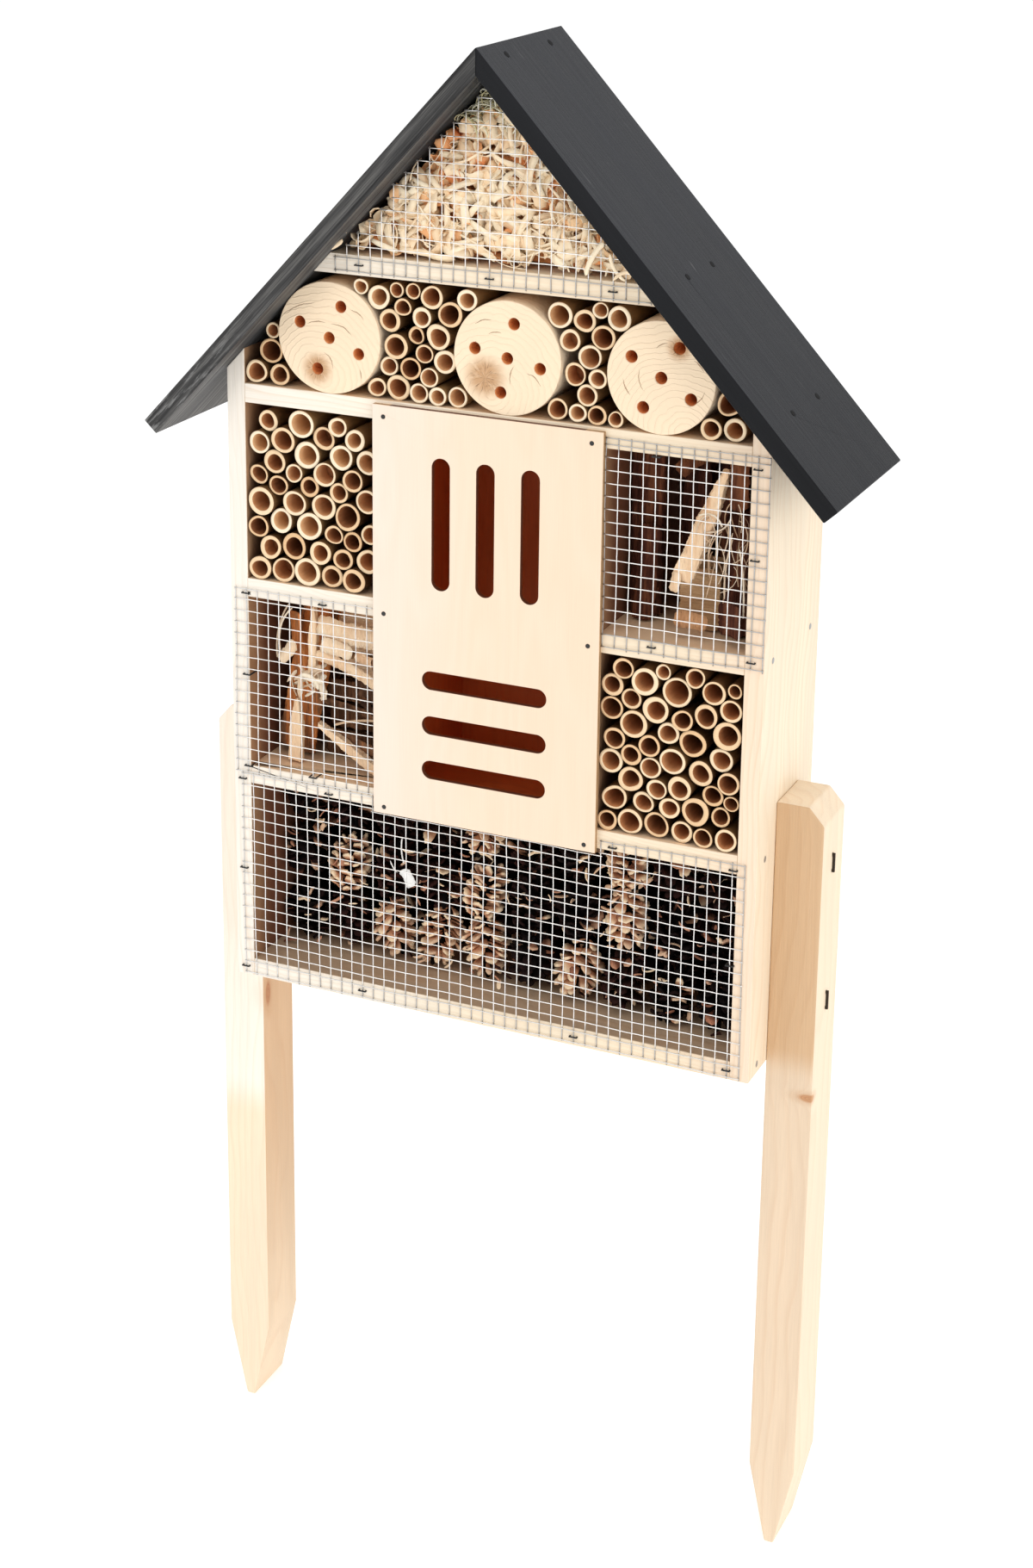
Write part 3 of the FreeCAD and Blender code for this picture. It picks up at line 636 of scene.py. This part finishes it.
class Net:
    """A sheet of welded mesh: upright wires behind, level wires in front, all slightly bent."""

    def __init__(self, seed, ripple):
        self.seed, self.ripple = seed, ripple
        self.heap = Heap()
        self.pick = random.Random(seed).uniform
        self.boards = [box_mm(name) for name in FRONT_LIGHT_BOARDS + ("butterfly_front",)]

    def over_board(self, x, z):
        """Whether a place in the front plane lies on the edge of a board."""
        return any(low[0] - 0.6 < x < high[0] + 0.6 and low[2] - 0.6 < z < high[2] + 0.6
                   for low, high in self.boards)

    def place(self, x, z, upright):
        """Where a crossing really is: pulled about in the sheet, and standing off the boards."""
        spot = Vector((x * 0.021, z * 0.021, self.seed * 7.3))
        pull = noise.noise_vector(spot) * self.ripple
        fine = noise.noise_vector(spot * 9) * 0.16
        off = 0.5 * self.ripple * max(0, noise.noise(spot * 1.7))
        depth = FRONT_Y - WIRE_RADIUS * (1 if upright else 2.85) - off
        return x + pull.x + fine.x, depth, z + pull.y + fine.y

    def run(self, start, end, fixed, upright):
        """One wire, with a point at each crossing and halfway between; over boards it is painted darker, as
        painted shade.
        """
        count = max(2, 2 * round((end - start) / MESH_PITCH) + 1)
        steps = np.linspace(start, end, count)
        pairs = [(fixed, step) if upright else (step, fixed) for step in steps]
        line = np.array([self.place(x, z, upright) for x, z in pairs])
        points, faces = wire(line, WIRE_RADIUS, WIRE_SIDES)
        # Over boards a wire is painted darker, as painted shade, and less so on the left of the house, as
        # painted light.
        stain = 0.45 if points[0, 0] < PAINTED_LIGHT_SIDE else 0
        tone = [stain if self.over_board(x, z) else self.pick(0.85, 1) for x, z in pairs]
        self.heap.add(points, faces, tone=np.repeat(tone, WIRE_SIDES))

    def stub(self, most=1.4):
        return self.pick(0.2, most)

    def build(self, node, look, xs, bottom, tops):
        """xs are the upright wires, and tops says how high each column between two of them is."""
        for index, x in enumerate(xs):
            highest = max(tops[max(index - 1, 0):index + 1])
            self.run(bottom - self.stub(), highest + self.stub(0.9), x, True)
        levels = [wire_places(bottom, top) for top in tops]
        for level in sorted(set(itertools.chain(*levels))):
            held = [level in column for column in levels]
            for is_held, group in itertools.groupby(range(len(held)), held.__getitem__):
                if is_held:
                    columns = list(group)
                    left, right = xs[columns[0]], xs[columns[-1] + 1]
                    self.run(left - self.stub(0.9), right + self.stub(0.9), level, False)
        self.heap.build(node + "_wires", (look,), [node], "galvanised")


def build_nets():
    # The last colour is painted shade, for wires in front of boards.
    look = steel_look("galvanised_wire", (0.95, 0.94, 0.92), 0.42, (0.48, 0.47, 0.46))
    front_low, front_high = box_mm("butterfly_front")
    ripples = {"mesh_left": 0.55, "mesh_right": 0.55, "mesh_bottom": 0.8, "mesh_gable": 0.6}
    for seed, (name, ripple) in enumerate(ripples.items(), 3):
        low, high = box_mm(name)
        bottom, top = low[2] + CAD_WIRE_HALF, high[2] - CAD_WIRE_HALF
        xs = wire_places(low[0] + CAD_WIRE_HALF, high[0] - CAD_WIRE_HALF)
        tops = [top] * (len(xs) - 1)
        for column, (x0, x1) in enumerate(zip(xs, xs[1:])):
            if name == "mesh_gable":
                room = roof_underside(max(abs(x0), abs(x1))) - 1.5 - bottom
                tops[column] = bottom + floor(room / MESH_PITCH) * MESH_PITCH
            elif name == "mesh_bottom" and x1 > front_low[0] - 0.6 and x0 < front_high[0] + 0.6:
                tops[column] = front_low[2] - 1.4
        Net(seed, ripple).build(name, look, xs, bottom, tops)


# ---- shavings and straw ----
SHELF_TOP = 680
STRAW_LOW = 750
CORE_INSET = 13  # how far the heap's core, painted dark orange as shade between the curls, stands behind its CAD front


def curl(pick, *limits):
    """A strip about the origin that curls, twists and narrows at its ends.

    limits are for length, width, radius, twist and thickness; a pair is a range to pick from."""
    length, width, radius, twist, thickness = [
        pick(*limit) if isinstance(limit, tuple) else limit for limit in limits]
    count = max(6, int(length / 1.8))
    share = np.linspace(0, 1, count)
    angle = (share - 0.5) * length / radius
    bend = radius * (1 + 0.5 * share)
    middle = np.stack([bend * np.sin(angle), twist * (share - 0.5) * length,
                       bend * (1 - np.cos(angle))], axis=1)
    lean = twist * 1.3 * (share - 0.5)
    across = np.stack([-np.sin(lean) * np.cos(angle), np.cos(lean), -np.sin(lean) * np.sin(angle)], axis=1)
    ends = np.clip(np.minimum(share, 1 - share) * pick(5, 16) + pick(0.1, 0.8), 0, 1)
    ragged = 1 + 0.12 * np.array([pick(-1, 1) for _ in share])
    return strip(middle, unit(across), width * ends * ragged, thickness, cup=pick(-0.1, 0.15) * width)


def turned(angle, axis):
    return Matrix.Rotation(angle, 3, axis)


def turn_of(chance):
    """A rotation by any angle about any axis."""
    axis = Vector([chance.gauss(0, 1) for _ in range(3)]).normalized()
    return turned(chance.uniform(0, 2 * pi), axis)


def put_at(points, spin, middle):
    """Points turned about their middle and moved to a new one."""
    return (points - points.mean(0)) @ np.array(spin).T + middle


def facing_turn(chance):
    """A rotation that shows a shaving's broad side to the front, at any angle in that plane."""
    tilt = turned(chance.gauss(0, 0.45), "X") @ turned(chance.gauss(0, 0.45), "Z")
    flip = radians(90 if chance.random() < 0.5 else -90)
    return tilt @ turned(chance.uniform(0, 6.28), "Y") @ turned(flip, "X")


def in_gable(points, gap, front):
    """Whether points stay below the roof by a gap, and behind the boards' front by another."""
    room = roof_underside(points[:, 0]) - gap - points[:, 2]
    return room.min() > 0 and points[:, 1].min() > FRONT_Y + front


def build_shavings():
    look = toned("shavings", (0.95, 0.36, 0.12), (0.97, 0.63, 0.34), (1, 0.87, 0.65),
                 (300, 300, 1500), 0.6, 0.0001, 0.05)
    chance = random.Random(8)
    pick = chance.uniform
    heap = Heap()
    kinds = (
        # count, length, width, curl radius, twist, depth, tone and share that faces the front; the deeper
        # kinds take darker tones, which paint the shade in the heap
        (170, (9, 16), (7, 11), (6, 14), (0, 0.2), (9, 16), (0, 0.25), 1),
        (130, (8, 16), (5, 8), (3, 7), (0, 0.3), (5, 10), (0.15, 0.7), 0.85),
        (190, (8, 20), (3.6, 6.6), (3, 8), (0, 0.35), (1.5, 7.5), (0.7, 1), 0.75),
        (110, (10, 24), (2.2, 4.2), (3, 12), (0.1, 0.5), (0.8, 5), (0.85, 1), 0.75),
        (50, (8, 22), (0.6, 1.4), (5, 20), (0.2, 0.9), (0.6, 4), (0.8, 1), 0.6),
    )
    for count, lengths, widths, radii, twists, depths, tones, facing in kinds:
        placed, tries = 0, 0
        while placed < count and tries < 14 * count:
            tries += 1
            points, faces = curl(pick, lengths, widths, radii, twists, (0.22, 0.4))
            x, z = pick(-88, 88), pick(SHELF_TOP, STRAW_LOW + 4)
            middle = (x, FRONT_Y + pick(*depths), z)
            spin = facing_turn(chance) if chance.random() < facing else turn_of(chance)
            points = put_at(points, spin, middle)
            if in_gable(points, 0.7, 0.25) and points[:, 2].min() > SHELF_TOP + 0.3:
                heap.add(points, faces, tone=pick(*tones))
                placed += 1
    # The CAD heap, set back, is the dark orange core: painted shade between the curls.
    points, faces = islands("wood_shavings")[0]
    points[points[:, 1] < points[:, 1].min() + 1, 1] += CORE_INSET
    points, normals, faces = remeshed(points, faces, 2.4)
    heap.add(points - normals * (2.7 * (dents(points, 6) * 0.5 + 0.5)), faces, tone=0.05)
    heap.build("wood_shavings_curls", (look,), ["wood_shavings"], "shavings")
    rows = (
        (-91, 682, -72, 696, -1.2, 2.6, 2, 0.95), (-93, 682, -78, 687, -1.6, 2, -2, 0.8),
        (-86, 683, -76, 691, -1.4, 1.6, 3, 0.9), (-62, 708, -55, 716, -1.4, 2.2, 3, 0.9),
        (50, 682, 59, 698, -1.3, 2.6, 1.5, 0.95), (70, 681, 62, 693, -1.2, 1.8, 2, 0.9),
        (64, 681, 76, 685, -1.5, 1.6, 2, 0.8),
    )
    lay("shavings_poking_out", look, "shavings", 18, rows)


def lay(name, look, slot, seed, rows):
    """Single chips, curls and fibres. Each row gives the x and z of both ends, the depth behind the
    front, the width and the sideways bow in mm, and the tone."""
    pick = random.Random(seed).uniform
    heap = Heap()
    for x0, z0, x1, z1, depth, width, bow, tone in rows:
        start, end = np.array([(x0, FRONT_Y + depth, z0), (x1, FRONT_Y + depth, z1)])
        share = np.linspace(0, 1, max(6, int(np.linalg.norm(end - start) / 1.2)))
        side = np.cross(unit(end - start), BACKWARD)
        arch = 4 * share * (1 - share)
        middle = start + share[:, None] * (end - start) + (bow * arch)[:, None] * side
        middle[:, 1] += 0.25 * abs(bow) * arch
        ends = np.clip(np.minimum(share, 1 - share) * 9 + pick(0.3, 0.8), 0, 1)
        ragged = np.array([pick(0.88, 1.12) for _ in share])
        roll = pick(-0.5, 0.5)
        across = unit(side * cos(roll) + BACKWARD * sin(roll))
        heap.add(*strip(middle, across, width * ends * ragged, 0.45, cup=0.08 * width), tone=tone)
    heap.build(name, (look,), (), slot)


def dents(points, size):
    return np.array([noise.noise(Vector(point / size)) for point in points])[:, None]


def remeshed(points, faces, voxel):
    """The same solid with an even fine mesh: points and normals in mm, and faces."""
    mesh = mesh_of("remesh", (points * MM).tolist(), faces)
    holder = in_scene("remesh", mesh)
    modifier = holder.modifiers.new("remesh", "REMESH")
    modifier.mode = "VOXEL"
    modifier.voxel_size = voxel * MM
    made = bpy.data.meshes.new_from_object(holder.evaluated_get(bpy.context.evaluated_depsgraph_get()))
    fine = np.array([vert.co for vert in made.vertices]) / MM
    normals = np.array([vert.normal for vert in made.vertices])
    fine_faces = [tuple(face.vertices) for face in made.polygons]
    bpy.data.batch_remove((holder, mesh, made))
    return fine, normals, fine_faces


def build_straw():
    look = toned("straw", (0.42, 0.35, 0.16), (0.86, 0.78, 0.48), (1, 0.97, 0.8), (1200, 1200, 300), 0.45)
    chance = random.Random(14)
    pick = chance.uniform
    heap = Heap()
    low, high = box_mm("straw_wad")
    placed = 0
    while placed < 120:
        points, faces = curl(pick, (9, 22), (0.9, 2.6), (3, 8), (0.05, 0.4), 0.3)
        middle = (pick(low[0] - 6, high[0] + 6), pick(low[1], low[1] + 16), pick(STRAW_LOW - 3, high[2]))
        lean = turned(chance.gauss(0, 0.35), "Y")
        flat = turned(radians(180) + pick(-0.5, 0.5), "X")
        points = put_at(points, lean @ flat, middle)
        if in_gable(points, 0.5, 0.2):
            heap.add(points, faces, tone=pick(0.35, 1))
            placed += 1
    heap.build("straw_wad_strands", (look,), ["straw_wad"], "straw")


# ---- pine cones ----
PALE_CONES = ((-11, 371), (-9, 337), (10, 359), (66, 367), (48, 302), (-57, 306), (-93, 333),
              (-27, 306), (68, 338))
SCALES = 42
SCALE_SHARES = np.array([0, 0.35, 0.65, 0.86, 1])
SCALE_WIDTHS = np.array([0.3, 0.62, 0.95, 1, 0.5])
SCALE_THICKNESSES = np.array([0.6, 0.6, 0.9, 1.5, 0.8])


def cone_into(heap, points, chance, pale):
    """An open cone inside its CAD egg: a spindle with scales in a spiral, each thick at its tip."""
    pick = chance.uniform
    centre = points.mean(0)
    spread = np.linalg.svd(points - centre, full_matrices=False)[2]
    axis = spread[0] if chance.random() < 0.5 else -spread[0]
    side = unit(np.cross(axis, np.array([0.31, 0.9, 0.2])))
    other = np.cross(axis, side)
    long = np.abs((points - centre) @ axis).max()
    wide = np.abs((points - centre) @ side).max()
    for number in range(SCALES):
        share = (number + 0.5) / SCALES
        height = -0.9 + 1.84 * share
        girth = sqrt(max(0.05, 1 - height ** 2))
        envelope = wide * girth * pick(0.72, 0.99)
        angle = number * GOLDEN_ANGLE + pick(-0.25, 0.25)
        out = cos(angle) * side + sin(angle) * other
        tangent = np.cross(axis, out)
        rise = 4 * (0.5 + share) + pick(-2, 2)
        reach = 1.5 + (envelope - 1.5) * SCALE_SHARES
        lift = height * long - rise * (1 - SCALE_SHARES ** 1.6)
        middle = centre + reach[:, None] * out + lift[:, None] * axis
        width = (2 + 5.4 * girth) * pick(0.55, 1.1)
        across = unit(tangent + pick(-0.5, 0.5) * axis)
        made, faces = strip(middle, across, width * SCALE_WIDTHS, SCALE_THICKNESSES,
                            cup=-0.14 * width * SCALE_SHARES)
        tone = pale + pick(-0.05, 0.05)
        if chance.random() < (0.11 if pale < 0.5 else 0.7):
            tone += pick(0.3, 1)
        heap.add(made, faces, tone=tone, tip=np.repeat(SCALE_SHARES, 6))
    turns = np.linspace(-0.96, 0.96, 9)
    angles = ring_angles(10)
    spindle = [centre + axis * long * turn + 3 * sqrt(1 - turn ** 2)
               * (np.cos(angles)[:, None] * side + np.sin(angles)[:, None] * other) for turn in turns]
    heap.add(np.concatenate(spindle), swept(len(spindle), 10), tone=0)


def cone_look():
    """Near-black between the scales and on the darkest cones, as painted shade; dark red-brown on the scales
    and cream on some tips.
    """
    look = Look("cone_scales", 0.75, sheen=0.08)
    streak = look.cloud(look.place, 700, detail=4)
    tone = look.scaled(look.calc("SUBTRACT", streak, 0.5), 0.2, look.mark("tone"))
    body = look.ramp(tone, (0, (0.003, 0.002, 0.002)), (0.3, (0.014, 0.005, 0.004)),
                     (0.6, (0.17, 0.06, 0.035)), (1, (0.72, 0.37, 0.21)))
    edge = look.ramp(tone, (0, (0.006, 0.004, 0.004)), (0.25, (0.035, 0.011, 0.009)),
                     (0.55, (0.52, 0.22, 0.13)), (1, (1, 0.78, 0.53)))
    colour = look.blend(look.steps(look.mark("tip"), 0.6, 0.95), body, edge)
    return look.finish(colour, streak, 0.0003)


def build_cones():
    chance = random.Random(31)
    pick = chance.uniform
    heap = Heap()
    low, high = box_mm("pine_cones")
    for points, _ in islands("pine_cones"):
        x, y, z = points.mean(0)
        near = min(hypot(x - pale_x, z - pale_z) for pale_x, pale_z in PALE_CONES)
        in_front = y < (low[1] + high[1]) / 2
        # Most cones take the darkest tones, near-black, which is painted shade in the pile.
        pale = 0.84 if near < 15 and in_front else chance.choice((0, 0.03, 0.06, 0.12, 0.2))
        cone_into(heap, points, chance, pale)
    for _ in range(170):
        points, faces = curl(pick, (2.5, 7), (0.6, 2.6), (2, 8), (0, 0.5), 0.4)
        x = pick(low[0] + 3, high[0] - 3)
        front = low[1] + 11 * (high[0] - x) / (high[0] - low[0])
        middle = (x, pick(front - 2, front + 12), pick(low[2] + 1, high[2] - 3))
        points = put_at(points, turn_of(chance), middle)
        if points[:, 2].min() > GROUND_TO_BASE + 10.3 and points[:, 1].min() > FRONT_Y + 0.3:
            heap.add(points, faces, tone=chance.choice((0.2, 0.4, 0.6, 0.8, 1)), tip=1)
    look = cone_look()
    heap.build("pine_cones_scales", (look,), ["pine_cones"], "cone")
    leaf = toned("dry_leaf", (0.86, 0.84, 0.78), (0.93, 0.92, 0.88), (0.96, 0.95, 0.93))
    rows = [(-52, 355, -47, 346, 12, 6, 0.8, 0.8), (-52, 358, -53, 372, 13, 0.7, 1, 0.9),
            (-56, 352, -60, 358, 13, 0.6, 0.6, 0.7)]
    lay("dry_leaf", leaf, "cone", 12, rows)


# ---- bark, split wood and splinters ----
def rough_node(name, look, slot, grain, amount, voxel=1.1, tones=(0.5, 0.5), border=0):
    """Every solid of a CAD node, torn along its fibres: grain gives the sizes of the dents.

    tones are for the solids on the left and on the right of border, a place in x."""
    heap = Heap()
    for solid in islands(name):
        points, normals, faces = remeshed(*solid, voxel)
        scale = np.array(grain)
        torn = np.clip(0.5 + 0.75 * dents(points, scale) + 0.4 * dents(points, scale / 3.7), 0, 1.3)
        tone = tones[0] if points[:, 0].mean() < border else tones[1]
        heap.add(points - normals * (amount * torn), faces, tone=tone)
    heap.build(name + "_torn", (look,), [name], slot)


def slivers(name, look, seed, count, low, high, lengths, widths, lean, tones):
    """Loose splinters and curls in a box, lying mostly along z and leaning by up to lean."""
    pick = random.Random(seed).uniform
    heap = Heap()
    for _ in range(count):
        points, faces = curl(pick, lengths, widths, (4, 30), (0, 0.25), (0.3, 0.6))
        spin = (turned(pick(-lean, lean), "Y") @ turned(pick(-0.3, 0.3), "X")
                @ turned(pick(0, 6.28), "Z") @ turned(radians(90), "Y"))
        middle = [pick(a, b) for a, b in zip(low, high)]
        points = put_at(points, spin, middle)
        first, last = points.min(0), points.max(0)
        if (first[2] > low[2] and last[2] < high[2] and first[1] > FRONT_Y + 0.5
            and first[0] > low[0] - 2 and last[0] < high[0] + 2):
            heap.add(points, faces, tone=pick(*tones))
    heap.build(name, (look,), (), "split_wood")


def build_bark_and_wood():
    rust = ((0.15, (0.02, 0.008, 0.005)), (0.38, (0.1, 0.045, 0.022)), (0.58, (0.25, 0.12, 0.06)),
            (0.74, (0.66, 0.22, 0.06)), (0.95, (0.82, 0.42, 0.17)))
    dark = ((0.15, (0.012, 0.005, 0.004)), (0.38, (0.08, 0.024, 0.014)), (0.6, (0.26, 0.095, 0.042)),
            (0.85, (0.52, 0.27, 0.13)))
    olive = ((0.2, (0.22, 0.1, 0.045)), (0.42, (0.42, 0.24, 0.12)), (0.6, (0.58, 0.37, 0.2)),
             (0.8, (0.72, 0.5, 0.29)))
    split = ((0.2, (0.6, 0.31, 0.16)), (0.4, (0.88, 0.6, 0.37)), (0.6, (0.97, 0.73, 0.49)),
             (0.85, (1, 0.85, 0.64)))
    left_bark = bark_look("bark_rust", ALONG_Z, rust, 0.45)
    right_bark = bark_look("bark_dark", ALONG_Z, dark)
    pale = bark_look("splint_pale", ALONG_Z, split, 0.12, 0.2)
    rough_node("bark_left", left_bark, "bark", (3, 3, 16), 1.6, tones=(0.74, 0.38), border=-100)
    left_wood = bark_look("wood_split", ALONG_X, split, 0.14, 0.25)
    rough_node("wood_left", left_wood, "split_wood", (14, 4, 6), 2.6)
    rough_node("splints_left", pale, "split_wood", (2, 2, 12), 0.7, 0.7)
    rough_node("bark_right", right_bark, "bark", (3, 3, 18), 1.6, tones=(0.38, 0.32), border=80)
    right_wood = bark_look("wood_olive", ALONG_X, olive, 0.2, 0.3)
    rough_node("wood_right", right_wood, "split_wood", (12, 4, 8), 1.6)
    rough_node("splint_right", pale, "split_wood", (7, 3, 14), 2.2, 0.8)
    fibres = toned("fibres", (0.1, 0.04, 0.02), (0.62, 0.42, 0.26), (0.95, 0.84, 0.66), (900, 900, 200))
    slivers("fibres_right", fibres, 9, 48, (110, -26, 526), (134, -14, 578), (10, 28), (0.3, 0.7),
            0.3, (0.2, 0.8))
    slivers("slivers_left", fibres, 10, 34, (-116, -27, 442), (-92, -20, 462), (5, 13), (1, 3.6),
            1.4, (0.55, 1))
    fibre_rows = (
        (-116, 489, -123, 464, 12, 1, -4, 0.9), (-119, 490, -126, 460, 14, 0.8, -3, 0.8),
        (-108, 456, -97, 450, 5, 2.6, 2.5, 0.95), (-90, 430, -66, 436, 9, 1.2, 1, 0.5),
        (107, 570, 119, 566, 7, 1, 3, 0.9), (110, 562, 123, 571, 8, 0.8, -3, 0.8),
        (106, 560, 112, 571, 7, 0.9, 2, 0.7), (128, 556, 131, 522, 7, 0.9, 1, 0.9),
        (124, 560, 121, 530, 8, 0.8, -1.5, 0.7),
    )
    lay("loose_fibres", fibres, "split_wood", 22, fibre_rows)
    pale_chips = (
        (-112, 472, -121, 461, 8, 7, 0.5, 0.7), (-101, 467, -66, 455, 10, 6, 1.5, 0.5),
        (-101, 483, -65, 479, 12, 11, -1, 0.65), (-98, 473, -80, 470, 10, 8, 0.5, 0.75),
        (-78, 470, -64, 466, 9, 6, 0.5, 0.4), (66, 512, 69, 528, 40, 5, 0, 0.2),
        (97, 540, 95, 530, 8, 5, 0, 0.5),
    )
    lay("pale_chips", pale, "split_wood", 25, pale_chips)
    bark_chips = (
        (-116, 486, -115, 464, 16, 9, 0.5, 0.8), (-80, 452, -64, 448, 14, 9, 0.5, 0.3),
        (-100, 440, -66, 434, 16, 5, 0.8, 0.4), (-96, 424, -70, 416, 15, 5, 0.6, 0.45),
        (-74, 446, -62, 436, 8, 3, 0.5, 0.2), (-66, 470, -62, 455, 8, 6, 0, 0.6),
    )
    lay("bark_chips_left", left_bark, "bark", 23, bark_chips)
    bark_chips = (
        (125, 511.5, 125, 528, 8, 15, 0.3, 0.4), (125, 598, 125, 573, 12, 9, 0.5, 0.55),
        (108, 572, 126, 586, 16, 6, 1, 0.7), (84, 580, 100, 592, 40, 8, 1, 0.6),
        (95, 516, 112, 515, 10, 8, 0.5, 0.95),
    )
    lay("bark_chips_right", right_bark, "bark", 24, bark_chips)


# ---- timber, roof and fastenings ----
def finish_node(name, look, edge=0):
    """Gives a CAD node its look. edge is how far its sharp edges are rounded, in mm."""
    board = cad_nodes[name]
    board.data.materials.clear()
    board.data.materials.append(look)
    if not edge:
        return
    board.modifiers.new("weld", "WELD").merge_threshold = 1e-5
    dissolve = board.modifiers.new("flat", "DECIMATE")
    dissolve.decimate_type = "DISSOLVE"
    dissolve.angle_limit = radians(1)
    bevel = board.modifiers.new("edge", "BEVEL")
    bevel.width = edge * MM
    bevel.segments = 2
    bevel.limit_method = "ANGLE"
    bevel.angle_limit = radians(35)
    bevel.use_clamp_overlap = False
    board.modifiers.new("normals", "WEIGHTED_NORMAL")


def build_timber():
    for seed, name in enumerate(LEVEL_BOARDS):
        finish_node(name, timber(name, ALONG_X, seed, PINE, 2.6), 0.5)
    for seed, name in enumerate(UPRIGHT_BOARDS, 20):
        finish_node(name, timber(name, ALONG_Z, seed, PINE, 3.4), 0.5)
    for name, seed, ring, contrast, knot, painted_light in (
        # a knot is its middle and radii; last come tints, each a side, the heights that it sets in between,
        # and the tint: painted shade under the case and on the left stake's inner side, painted light high
        # on the left stake's front
        ("stake_left", 31, 5, 0.4, ((-146, 0, 255), (5, 3, 8)),
         (((1, 0, 0), -60, 200, (0.72, 0.58, 0.46)), (FORWARD, 180, 205, (1.05, 1.15, 1.36)))),
        ("stake_right", 35, 5.5, 0.45, ((169, -5, 266), (6.5, 4, 2.3)),
         ((FORWARD, -200, 150, (0.83, 0.79, 0.77)), (FORWARD, 274, 292, (0.86, 0.74, 0.6)))),
    ):
        look = timber(name, ALONG_Z, seed, STAKE_PINE, ring, contrast, (knot,), painted_light)
        finish_node(name, look, 0.9)
    finish_node("butterfly_front", plywood_front(), 0.25)
    for name, pitch, seed, wear_and_glints, edge in (("roof_left", ROOF_PITCH, 1, 1, (0.64, 0.63, 0.62)),
                                          ("roof_right", -ROOF_PITCH, 2, 0, (0.26, 0.27, 0.29))):
        finish_node(name, roof_paint(name, (0, pitch, 0), seed, wear_and_glints, edge), 0.6)


def build_logs():
    plans = {
        # pith, knot (x, z, radius) and cracks
        "log_left": ((-4, -20), (-6.6, -16.2, 6.5), (
            (-26, 9, -7, 17, 1.6), (-12, 6, -1.5, 7.5, 0.8), (1, 7.2, 13, 2, 1.8), (12, 15.4, 19.5, 10.8, 1),
            (-2.8, -7.5, 2.1, -15.8, 1.6), (17, -14, 18, -19, 0.3))),
        "log_centre": ((-8, -18), (-11.5, -10.5, 8.5), (
            (-17, 15, -8, 18, 1.2), (-10, 11, -3, 12, 0.8), (4, -3, 2, -13, -1.2), (10, -6, 18, -12, 1.4),
            (-20, 2, -16, 7, 0.6))),
        "log_right": ((12, -26), (8.7, 15.2, 5), (
            (-19, -2, -15, -10, -1), (-11, 3, -8.5, -7, -1.2), (-3, 14, 3, 17, 0.6), (14, -12, 22, -4, -1.6),
            (16, 10, 21, 5, 0.8))),
    }
    for seed, (name, (pith, knot, cracks)) in enumerate(plans.items()):
        x, _, z = sum(box_mm(name)) / 2
        finish_node(name, log_end(name + "_end", x, z, seed, pith, knot, cracks), 0.5)


def build_fastenings():
    for name, colour in (("front_nails", 0.06), ("back_nails", 0.2), ("frame_nails", 0.45)):
        finish_node(name, steel_look(name, (colour,) * 3, 0.5))
    for name, dark in (("roof_nails", 0.004), ("mesh_staples", 0.03)):
        finish_node(name, toned(name, dark, 1.5 * dark, 2 * dark))
    rusty = toned("stake_staples", (0.03, 0.02, 0.013), (0.09, 0.055, 0.033), (0.2, 0.13, 0.08))
    finish_node("stake_staples", rusty)


# ---- room, lights and camera ----
WHITE = (1, 1, 1)
LIT_PLACE = Vector((0, 0, 0.5))


def build_floor():
    reach = 30
    corners = [(-reach, -reach, 0), (reach, -reach, 0), (reach, reach, 0), (-reach, reach, 0)]
    mesh = mesh_of("floor", corners, [(0, 1, 2, 3)])
    ground = in_scene("floor", mesh)
    look = Look("floor", 0.9)
    look.set("Emission Color", WHITE)
    look.set("Emission Strength", 0.28)
    mesh.materials.append(look.finish((0.93, 0.93, 0.93)))


def area_light(name, place, size, power, colour=WHITE):
    data = bpy.data.lights.new(name, "AREA")
    data.size = size
    data.energy = power
    data.color = colour
    light = in_scene(name, data)
    light.location = place
    light.rotation_euler = (LIT_PLACE - Vector(place)).to_track_quat("-Z", "Y").to_euler()


def build_lights():
    world = bpy.data.worlds.new("studio")
    world.use_nodes = True
    background = world.node_tree.nodes["Background"].inputs
    background["Color"].default_value = (1, 1, 1, 1)
    background["Strength"].default_value = 0.8
    scene.world = world
    area_light("key", (-0.9, -1.5, 1.3), 0.8, 5.5, (1, 0.985, 0.96))
    area_light("top", (0.3, -0.6, 2.6), 1.6, 14)
    area_light("side", (2.4, -0.9, 1), 1.6, 17)
    scene.view_settings.view_transform = "Standard"


CAMERA_PLACE = (0.5355, -1.201, 0.9437)
CAMERA_TURNS = ((23.98, "Z"), (90 - 16.75, "X"), (0.7, "Z"))  # to the left, down and roll
CAMERA_LENS = 63.12
CAMERA_SHIFT = -0.17


def build_camera():
    data = bpy.data.cameras.new("camera")
    data.lens = CAMERA_LENS
    data.shift_y = CAMERA_SHIFT
    camera = in_scene("camera", data)
    place = Matrix.Translation(CAMERA_PLACE)
    for degrees, axis in CAMERA_TURNS:
        place = place @ Matrix.Rotation(radians(degrees), 4, axis)
    camera.matrix_world = place
    scene.camera = camera


build_timber()
build_logs()
build_canes()
build_nets()
build_shavings()
build_straw()
build_cones()
build_bark_and_wood()
build_fastenings()
build_floor()
build_lights()
build_camera()
